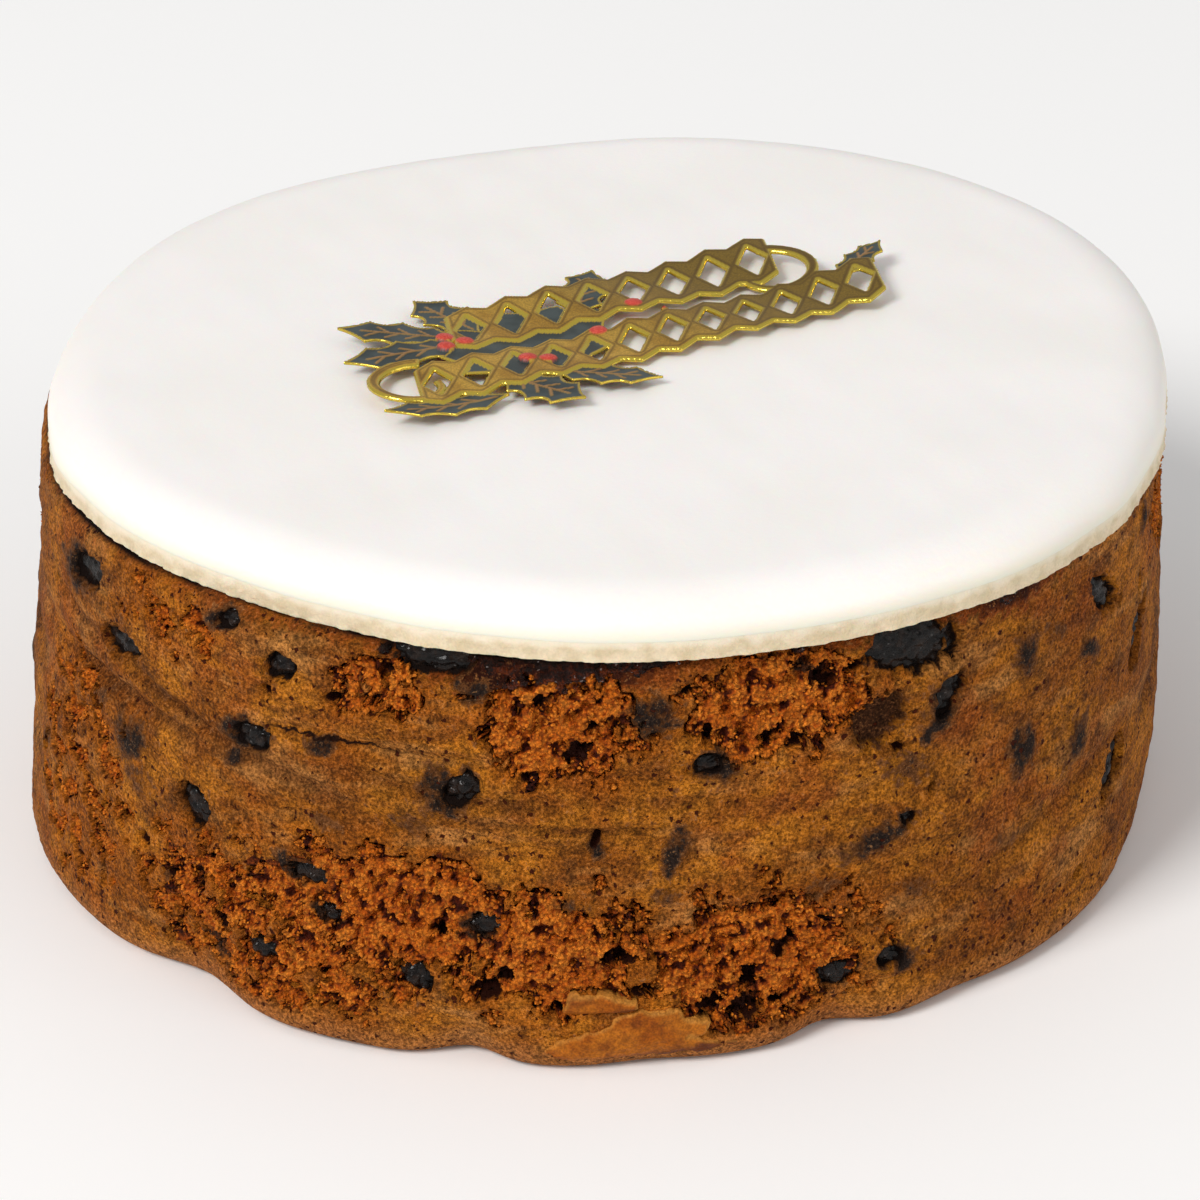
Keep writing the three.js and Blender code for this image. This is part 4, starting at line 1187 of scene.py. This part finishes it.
def segment_distance(x, y, start, end):
    (ax, ay), (bx, by) = start, end
    dx, dy = bx - ax, by - ay
    share = np.clip(((x - ax) * dx + (y - ay) * dy) / max(dx * dx + dy * dy, 1e-12), 0, 1)
    return np.hypot(x - ax - share * dx, y - ay - share * dy)


# Flaps of crust at the foot: bearing and outline in millimetres along the side and up from the floor
BROAD_FLAP = [
    (-14, 2.2), (-12.5, 3.8), (-11.1, 5), (-8, 6), (-4.5, 7), (-4, 8.4), (-2.7, 9), (3.6, 8.8), (4.6, 7.4),
    (7.6, 6.8), (7, 5.3), (4.8, 4.6), (7.7, 4.1), (10.8, 2.9), (15, 1.4), (10.2, 0.6), (0, 0.5), (-8.5, 0.7),
    (-12.8, 1.3),
]
SMALL_FLAP = [(-9.6, 11.7), (-5, 11.4), (-1.1, 10.5), (-1.6, 8.8), (-4.6, 8.3), (-8.1, 7.9), (-10.3, 8.8)]
CRUST_FLAPS = [(4.9, BROAD_FLAP, 3), (4.6, SMALL_FLAP, 5), (152, BROAD_FLAP, 7), (-128, SMALL_FLAP, 13)]
FLAP_PROUD = 0.95
FLAP_FOOT = 0.6
FLAP_CELL = 0.22
FLAP_THICKNESS = 2.4


def crust_flap(bearing, outline, seed):
    """Corners of a flap's two faces, its quads and rim, and its marks."""
    (left, low), (right, high) = np.min(outline, axis=0), np.max(outline, axis=0)
    u, v = np.meshgrid(np.arange(left - 1, right + 1, FLAP_CELL), np.arange(low - 1, high + 1, FLAP_CELL))
    flat = np.stack([u, v], -1)
    distance = outline_distance(u, v, outline)
    distance = distance + 0.22 * ripples(flat, 3, seed) + 0.1 * ripples(flat, 1.3, seed + 2)
    at, quads, rim, used = cut_sheet(u, v, distance)
    far = -distance.ravel()[used]
    level = np.maximum(FLAP_FOOT, at[:, 1])
    under = np.maximum(0, FOOT_ROUNDING - level)
    inset = FOOT_ROUNDING - np.sqrt(FOOT_ROUNDING**2 - under**2)
    around = bearing + np.degrees(at[:, 0] / FOOT_RADIUS)
    share = (at[:, 1] - low) / (high - low)
    lifted = smooth(0.1, 0.55, share) * (0.6 + 0.4 * smooth(left, right, at[:, 0]))
    warp = 0.25 * ripples(at, 8, seed + 1) + 0.1 * ripples(at, 3, seed + 4)
    outer = skin_radius(around, level) - inset + warp * lifted
    outer += FLAP_PROUD * lifted - 0.5 * fade(0.1, 2.2, far) * (1 - lifted)
    top = side_point(around, level, outer - 0.25 * fade(0, 0.4, far))
    bottom = side_point(around, level, outer - FLAP_THICKNESS)
    towards_right = (at[:, 0] - left) / (right - left)
    toasted = smooth(0.0, 0.5, towards_right - 1.2 * share + 0.12 * ripples(at, 4, seed + 6))
    edge = fade(0.05, 0.5, far) * lifted
    return top, bottom, quads, rim, toasted, edge


def crust_flaps():
    """All flaps as one piece."""
    flaps = [crust_flap(*flap) for flap in CRUST_FLAPS]
    starts = np.cumsum([0] + [len(flap[0]) for flap in flaps])
    tops, bottoms, quads, rims, toasted, edges = zip(*flaps)
    quads, rims = ([part + start for part, start in zip(parts, starts)] for parts in (quads, rims))
    joined = [np.concatenate(parts) for parts in (tops, bottoms, quads, rims)]
    marks = {"toasted": np.concatenate(toasted), "edge": np.concatenate(edges)}
    piece = sheet_piece("crust_flaps", *joined, **marks)
    piece.data.materials.append(crust_flap_finish())
    return piece


# The jam along the top edge

GLAZE_CELL = 0.3
GLAZE_DROP = 7.5
GLAZE_THICKNESS = 1.2


def jam_glaze():
    """A thin ragged skin of jam over the shoulder, closed where its ends meet behind."""
    across = np.arange(-180 * ARC, 180 * ARC + GLAZE_CELL, GLAZE_CELL)
    u, v = np.meshgrid(across, np.arange(CAKE_HEIGHT - GLAZE_DROP, CAKE_HEIGHT, GLAZE_CELL))
    bearing = u / ARC
    place = side_point(bearing, v, side_radius(v))
    fine, finest = ragged_edges(place)
    inside = fruit_marks(bearing, v, finest)[3]
    distance = CAKE_HEIGHT + 1.1 - 4.2 * glaze_strength(bearing) - v
    distance = distance + 1.0 * fine + 0.6 * ripples(place, 5, 61)
    distance = np.maximum(distance, 3 * inside - 0.3)
    at, quads, rim, used = cut_sheet(u, v, distance)
    far = -distance.ravel()[used]
    around, level = at[:, 0] / ARC, np.minimum(at[:, 1], CAKE_HEIGHT - 0.01)
    place = side_point(around, level, side_radius(level))
    outer = skin_radius(around, level) - shoulder_inset(level)
    outer += 0.26 * smooth(-0.1, 1.4, far) + 0.14 * ripples(place, 1.3, 62) * smooth(0, 1, far) - 0.08
    top = side_point(around, level, outer)
    bottom = side_point(around, level, outer - GLAZE_THICKNESS)
    # Painted shade: the jam darkens towards the marzipan's edge
    near_top = 0.8 * smooth(CAKE_HEIGHT - 2.2, CAKE_HEIGHT - 0.6, level)
    piece = sheet_piece("jam_glaze", top, bottom, quads, rim, near_top=near_top)
    piece.data.materials.append(jam_finish())
    return piece


# Marzipan and icing

RIM_WAVES = [(2, 0.2, 151), (3, 1.2, 144), (4, 0.75, 45), (5, 0.3, 79), (6, 0.5, 112)]


def rim_share(bearing):
    """How far out of round the marzipan and the icing are, as a share of their radius."""
    swing = sum(size * np.cos(np.radians(lobes * (bearing - crest))) for lobes, size, crest in RIM_WAVES)
    return 1 + swing / ICING_RADIUS


def outside_layers(place):
    """How far each place lies outside the edge of the marzipan, seen from above."""
    bearing = np.degrees(np.arctan2(place[..., 0] - ICING_SHIFT, -place[..., 1]))
    far = np.hypot(place[..., 0] - ICING_SHIFT, place[..., 1])
    return far - (ICING_RADIUS + seam_waves(bearing)) * rim_share(bearing)


def trimmed_rings(profile, columns):
    """Bearings, radii and heights of the rings of a layer."""
    bearings = 360 * np.arange(columns) / columns - 180
    bearing, radius = np.meshgrid(bearings, profile[:, 0])
    height = np.broadcast_to(profile[:, 1][:, None], bearing.shape).copy()
    return bearing, radius, height


def layer_point(bearing, radius, height):
    angle = np.radians(bearing)
    wide = radius * rim_share(bearing)
    return np.stack([wide * np.sin(angle) + ICING_SHIFT, -wide * np.cos(angle), height], axis=-1)


CRISP = 0.04
LAYER_HOLD = 4.0
MARZIPAN_ROWS = 12
MARZIPAN_COLUMNS = 1100
ICING_ROWS = 26
ICING_COLUMNS = 640
TOP_RING_STEP = 1.7


def seam_waves(bearing):
    """Slight waves of the rim that the marzipan and the icing's foot share."""
    angle = np.radians(bearing)
    ring = ICING_RADIUS * np.stack([np.sin(angle), np.cos(angle)], -1)
    return 0.12 * ripples(ring, 14, 33)


def marzipan_layer():
    """The flat layer of marzipan, with a rough side and a small burr at its foot."""
    low, high = CAKE_HEIGHT, MARZIPAN_TOP
    levels = np.linspace(low, high, MARZIPAN_ROWS + 1)
    levels = [low, low + CRISP, *levels[1:-1], high - CRISP, high]
    inner, sharp = ICING_RADIUS - LAYER_HOLD, ICING_RADIUS - CRISP
    side = [(ICING_RADIUS, level) for level in levels]
    profile = np.array([(inner, low), (sharp, low), *side, (sharp, high), (inner, high)])
    bearing, radius, height = trimmed_rings(profile, MARZIPAN_COLUMNS)
    place = layer_point(bearing, radius, height)
    up = (height - CAKE_HEIGHT) / (MARZIPAN_TOP - CAKE_HEIGHT)
    on_side = radius > ICING_RADIUS - 1
    uneven = (0.05 * ripples(place, 1.2, 21) + 0.04 * ripples(place, 0.7, 25)) * fade(0.75, 1.0, up)
    burr = 0.22 * bell((up - 0.03) / 0.07) * np.clip(0.4 + ripples(place * (1, 1, 0), 2.6, 24), 0, 1)
    radius = radius + on_side * (uneven + burr + seam_waves(bearing))
    cream = 0.9 * smooth(0.45, 1.0, up + 0.12 * ripples(place, 3, 26))
    poles = [(ICING_SHIFT, 0, CAKE_HEIGHT), (ICING_SHIFT, 0, MARZIPAN_TOP)]
    piece = turned_piece("marzipan_layer", layer_point(bearing, radius, height), poles, cream=cream)
    piece.data.materials.append(marzipan_finish())
    return piece


def icing_layer():
    """The icing: a rounded roll all round and a nearly flat top."""
    angles = np.radians(90 * np.arange(ICING_ROWS + 1) / ICING_ROWS)
    inset = ICING_ROLL * (1 - np.cos(angles) ** ROLL_POWER)
    rise = (ICING_TOP - MARZIPAN_TOP) * np.sin(angles) ** ROLL_POWER
    roll = np.stack([ICING_RADIUS - inset, MARZIPAN_TOP + rise], -1)
    flat = np.arange(ICING_RADIUS - ICING_ROLL - 1.5, 2, -TOP_RING_STEP)
    profile = np.concatenate([
        [(ICING_RADIUS - LAYER_HOLD, MARZIPAN_TOP), (ICING_RADIUS - CRISP, MARZIPAN_TOP)],
        roll[:1],
        [(ICING_RADIUS, MARZIPAN_TOP + CRISP)],
        roll[1:],
        np.stack([flat, np.full(len(flat), ICING_TOP)], -1),
    ])
    bearing, radius, height = trimmed_rings(profile, ICING_COLUMNS)
    place = layer_point(bearing, radius, height)
    top = smooth(MARZIPAN_TOP + 0.5, ICING_TOP, height)
    flatwise = place * (1, 1, 0)
    dips = 0.07 * ripples(flatwise, 26, 31) + 0.025 * ripples(flatwise, 7, 32)
    height = height + top * (dips - 0.1)
    radius = radius + seam_waves(bearing) * (1 - top) * smooth(ICING_RADIUS - 6, ICING_RADIUS - 3, radius)
    cream = 0.6 * fade(MARZIPAN_TOP, MARZIPAN_TOP + 2.4, height)
    cream += 0.2 * fade(MARZIPAN_TOP + 2, ICING_TOP, height)
    poles = [(ICING_SHIFT, 0, MARZIPAN_TOP), (ICING_SHIFT, 0, ICING_TOP - 0.1)]
    piece = turned_piece("rolled_icing", layer_point(bearing, radius, height), poles, cream=cream)
    piece.data.materials.append(icing_finish())
    return piece


# The foil trim, drawn flat along u and across v about the icing's middle and then turned onto the icing

FOIL_TURN = 27
FOIL_THICKNESS = 0.5
FOIL_EMBOSS = 0.4
FOIL_GAP = 0.3
FOIL_CELL = 0.2
LEAVES = [
    ((-19, 7), (-33.5, 16), 8),
    ((-19, 5), (-37, 6.5), 7.5),
    ((-16, 8), (-20, 21), 8.5),
    ((-21, -11.5), (-39, -10.5), 6.5),
    ((-20, -6), (-13.5, -18), 8.5),
    ((-14, -7.5), (-1.5, -16.5), 7.5),
    ((-3, 6), (6, 18.5), 8),
    ((33, -1.5), (43.5, 4.5), 5),
]
LEAF_SPINES = 3
BERRIES = [
    (-21.5, 7.6), (-19.6, 5.4), (-22.6, 4.8), (-14.5, -3), (-12.2, -4.4), (-2.4, 0.4), (5.4, 5.2), (8, 2.6),
]
BERRY_RADIUS = 1.3
BACKING_CENTRE = (-12.5, 2)
BACKING_RADII = (13, 10.5)
BACKING_TURN = 8
BACKING_LOBES = 9
BANDS = [(-20, 29, 9.4, 6.4, 8), (-31, 38, -4.2, 6, 12)]
BAND_TOOTH = 1.6
BAND_LEAN = 0.32
LINK_BAR = 1.8
SCROLLS = [((26.5, 5.2), (7, 3.4), 80, -300, 2), ((-31, -3.6), (6.6, 3), 60, 300, 2)]
SCROLL_STEPS = 28
SCROLL_TAPER = 0.45
VEIN_HALF = 0.17
LEAF_RIM = 0.3
FOIL_SHEET = 0.22


def leaf_outline(root, tip, width):
    """Scalloped outline with spines, from the root along one side to the tip and back."""
    root, tip = np.array(root, float), np.array(tip, float)
    length = np.linalg.norm(tip - root)
    way = (tip - root) / length
    aside = np.array([-way[1], way[0]])
    shares = np.arange(1, LEAF_SPINES + 1) / (LEAF_SPINES + 1)
    spines = [(length * s, width / 2 * math.sin(math.pi * s) ** 0.6) for s in shares]
    half = [(0, 0), *spines, (length, 0)]
    points = []
    for (from_along, from_out), (to_along, to_out) in zip(half, half[1:]):
        control = ((from_along + to_along) / 2, 0.21 * (from_out + to_out))
        bent = [np.array(p) for p in ((from_along, from_out), control, (to_along, to_out))]
        for t in np.arange(0, 1, 1 / 8):
            weights = (1 - t) ** 2, 2 * t * (1 - t), t * t
            points.append(sum(w * p for w, p in zip(weights, bent)))
    points = np.array(points + [(length, 0)])
    both = np.concatenate([points, points[-2:0:-1] * (1, -1)])
    return root + both[:, :1] * way + both[:, 1:] * aside


def leaf_veins(root, tip, width):
    """The midrib and pairs of side veins, as start and end points."""
    root, tip = np.array(root, float), np.array(tip, float)
    way = tip - root
    aside = np.array([-way[1], way[0]]) / np.linalg.norm(way)
    veins = [(root + 0.12 * way, root + 0.8 * way)]
    for share in (0.3, 0.46, 0.62):
        for side in (1, -1):
            start = root + (share + 0.04 * side) * way
            veins.append((start, start + 0.1 * way + side * 0.19 * width * aside))
    return veins


def backing_outline():
    """The lobed ground of leafwork behind the bands."""
    turn = math.radians(BACKING_TURN)
    points = []
    for i in range(2 * BACKING_LOBES):
        angle = math.pi * i / BACKING_LOBES
        reach = 0.86 if i % 2 else 1
        x, y = BACKING_RADII[0] * reach * math.cos(angle), BACKING_RADII[1] * reach * math.sin(angle)
        points.append((
            BACKING_CENTRE[0] + x * math.cos(turn) - y * math.sin(turn),
            BACKING_CENTRE[1] + x * math.sin(turn) + y * math.cos(turn),
        ))
    return points


def band_distance(u, v, start, end, level, half, links):
    """A saw-toothed strip pierced by leaning lozenges."""
    pitch = (end - start) / links

    def lean(along, across):
        return along + BAND_LEAN * across, level + across

    def edge(sign):
        outs = [half if i % 2 else half - BAND_TOOTH for i in range(2 * links + 1)]
        return [lean(start + pitch * i / 2, sign * out) for i, out in enumerate(outs)]

    distance = outline_distance(u, v, edge(-1) + edge(1)[::-1])
    long, tall = pitch / 2 - LINK_BAR / 2, half - BAND_TOOTH - LINK_BAR / 2
    for i in range(links):
        middle = start + pitch * (i + 0.5)
        hole = [lean(middle - long, 0), lean(middle, tall), lean(middle + long, 0), lean(middle, -tall)]
        distance = np.maximum(distance, -outline_distance(u, v, hole))
    return distance


def scroll_outline(centre, radii, start, sweep, width):
    """A spiral strip that narrows towards its inner end."""
    def side(offset):
        points = []
        for i in range(SCROLL_STEPS + 1):
            share = i / SCROLL_STEPS
            angle = math.radians(start + sweep * share)
            radius = radii[0] + (radii[1] - radii[0]) * share + offset * (1 - SCROLL_TAPER * share)
            points.append((centre[0] + radius * math.cos(angle), centre[1] + radius * math.sin(angle)))
        return points
    return side(width / 2) + side(-width / 2)[::-1]


def foil_lift(u, v):
    """How far the curled foil stands off the icing."""
    curl = 1.5 * (u / 40) ** 4 + 0.5 * (v / 20) ** 2
    return FOIL_GAP + curl + 0.3 * (1 + np.sin(u / 4.6 + v / 7))


def foil_trim():
    """The embossed trim: leafwork under gold bands and scrolls, with berries on top."""
    u, v = np.meshgrid(np.arange(-42, 46, FOIL_CELL), np.arange(-21, 24, FOIL_CELL))
    leafwork = outline_distance(u, v, backing_outline())
    enamel = smooth(0, 0.1, -leafwork - LEAF_RIM)
    height = 0.12 * smooth(0, 0.3, -leafwork) * fade(0.3, 0.7, -leafwork)
    twig = np.zeros(u.shape)
    for root, tip, width in LEAVES:
        leaf = outline_distance(u, v, leaf_outline(root, tip, width))
        vein = np.full(u.shape, 9.0)
        for start, end in leaf_veins(root, tip, width):
            vein = np.minimum(vein, segment_distance(u, v, start, end))
        inside = leaf < 0
        twigs = fade(VEIN_HALF * 0.7, VEIN_HALF * 1.5, vein)
        lines = np.maximum(twigs, fade(LEAF_RIM * 0.7, LEAF_RIM * 1.2, -leaf))
        enamel = np.where(inside, 1 - lines, enamel)
        twig = np.where(inside, twigs, twig)
        height = np.where(inside, 0.14 * lines, height)
        leafwork = np.minimum(leafwork, leaf)
    gold = np.full(u.shape, 9.0)
    for band in BANDS:
        gold = np.minimum(gold, band_distance(u, v, *band))
    for scroll in SCROLLS:
        gold = np.minimum(gold, outline_distance(u, v, scroll_outline(*scroll)))
    raised = smooth(-0.1, 0.35, -gold)
    height = np.maximum(height * (gold > 0), FOIL_EMBOSS * raised)
    enamel = enamel * (gold > 0.12)
    twig = twig * (gold > 0.12)
    polish = np.maximum(fade(0.12, 0.34, np.abs(gold + 0.1)), (1 - enamel) * (gold > 0) * 0.8) * (1 - twig)
    engraved = 0.75 * bell((gold + 0.72) / 0.16)
    far_end = smooth(-12, 24, u + 0.6 * v)
    berry = np.zeros(u.shape)
    for at_u, at_v in BERRIES:
        far = np.hypot(u - at_u, v - at_v) / BERRY_RADIUS
        dome = np.sqrt(np.clip(1 - far**2, 0, 1))
        berry = np.maximum(berry, fade(0.85, 1.0, far))
        height = np.maximum(height, (0.2 + 0.6 * dome) * (far < 1))
    distance = np.minimum(leafwork, gold)
    at, quads, rim, used = cut_sheet(u, v, distance)
    low = foil_lift(at[:, 0], at[:, 1])
    turn = math.radians(FOIL_TURN)

    def laid(lift):
        x = at[:, 0] * math.cos(turn) - at[:, 1] * math.sin(turn) + ICING_SHIFT
        y = at[:, 0] * math.sin(turn) + at[:, 1] * math.cos(turn)
        return np.stack([x, y, ICING_TOP + lift], -1)

    marks = {"enamel": enamel, "polish": polish, "berry": berry}
    marks.update(twig=twig, engraved=engraved, far_end=far_end)
    marks = {mark: values.ravel()[used] for mark, values in marks.items()}
    top = laid(low + FOIL_THICKNESS + height.ravel()[used])
    under = laid(low + FOIL_THICKNESS - FOIL_SHEET)
    piece = sheet_piece("foil_trim", top, under, quads, rim, **marks)
    piece.data.materials.append(foil_finish())
    return piece


# Stage, lights and camera

TARGET = Vector((4.4, 0, 32)) * MM
CAMERA_DISTANCE = 600 * MM
CAMERA_ELEVATION = 27.57
CAMERA_ROLL = -1.034
FOCAL_PIXELS = 4398
PICTURE_SIDE = 1200
SENSOR = 36.0
SHIFT = (-0.0164, -0.0382)
FLOOR_HALF = 3.0
SKY_STRENGTH = 0.47
# Place and width in metres, power in watts and colour
LIGHTS = {
    "key": ((-1.65, -1.75, 2.25), 1.25, 70, (1, 0.985, 0.965)),
    "fill": ((2.0, -1.5, 1.25), 2.2, 13, (1, 0.98, 0.95)),
}


def add_camera():
    camera = bpy.data.objects.new("camera", bpy.data.cameras.new("camera"))
    camera.data.sensor_width = SENSOR
    camera.data.lens = FOCAL_PIXELS * SENSOR / PICTURE_SIDE
    camera.data.shift_x, camera.data.shift_y = SHIFT
    camera.data.clip_start, camera.data.clip_end = 0.01, 20
    rise = math.radians(CAMERA_ELEVATION)
    back = Vector((0, -math.cos(rise), math.sin(rise)))
    turned = (-back).to_track_quat("-Z", "Y").to_matrix() @ Matrix.Rotation(math.radians(CAMERA_ROLL), 3, "Z")
    camera.matrix_world = Matrix.Translation(TARGET + back * CAMERA_DISTANCE) @ turned.to_4x4()
    bpy.context.scene.collection.objects.link(camera)
    bpy.context.scene.camera = camera


def add_light(name, place, size, power, colour):
    light = bpy.data.objects.new(name, bpy.data.lights.new(name, "AREA"))
    light.data.shape = "DISK"
    light.data.size = size
    light.data.energy = power
    light.data.color = colour
    light.location = place
    light.rotation_euler = (TARGET - Vector(place)).to_track_quat("-Z", "Y").to_euler()
    bpy.context.scene.collection.objects.link(light)


def add_stage():
    floor_mesh = bpy.data.meshes.new("floor")
    corners = [(x * FLOOR_HALF, y * FLOOR_HALF, 0) for x, y in ((-1, -1), (1, -1), (1, 1), (-1, 1))]
    floor_mesh.from_pydata(corners, [], [(0, 1, 2, 3)])
    floor = bpy.data.objects.new("floor", floor_mesh)
    pale = Finish("pale_floor", Base_Color=(1, 1, 1, 1), Roughness=0.9)
    floor.data.materials.append(pale.material)
    bpy.context.scene.collection.objects.link(floor)
    world = bpy.data.worlds.new("studio")
    world.use_nodes = True
    sky = world.node_tree.nodes["Background"].inputs
    sky["Color"].default_value = (1, 1, 1, 1)
    sky["Strength"].default_value = SKY_STRENGTH
    bpy.context.scene.world = world
    for name, light in LIGHTS.items():
        add_light(name, *light)
    bpy.context.scene.view_settings.view_transform = "Standard"


add_camera()
add_stage()

crumb_finish = open_crumb_finish()
crumb_tree = crumb_relief_tree()
crumb_scatter = loose_crumb_tree()
body = cake_body()
front_crumb = open_crumb("open_crumb_front", FRONT_FROM, FRONT_TO, crumb_finish, crumb_tree)
back_crumb = open_crumb("open_crumb_back", FRONT_TO, FRONT_FROM + 360, crumb_finish, crumb_tree)
front_loose = loose_crumbs("loose_crumbs_front", front_crumb, crumb_finish, crumb_scatter)
back_loose = loose_crumbs("loose_crumbs_back", back_crumb, crumb_finish, crumb_scatter)
raisin_look = raisin_finish()
raisin_shape = raisin_tree()
front_raisins = bare_raisins("raisins_front", NEAR_FRUIT, raisin_look, raisin_shape)
back_raisins = bare_raisins("raisins_back", FRUIT[len(NEAR_FRUIT):], raisin_look, raisin_shape)
flaps = crust_flaps()
glaze = jam_glaze()
marzipan = marzipan_layer()
icing = icing_layer()
foil = foil_trim()

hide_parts("fruit_cake")
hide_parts("marzipan")
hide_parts("icing")
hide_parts("holly_foil")
crumbs = (front_crumb, back_crumb, front_loose, back_loose)
cake_pieces = (body, *crumbs, front_raisins, back_raisins, flaps, glaze)
for piece in (*cake_pieces, marzipan, icing, foil):
    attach(piece, "root")
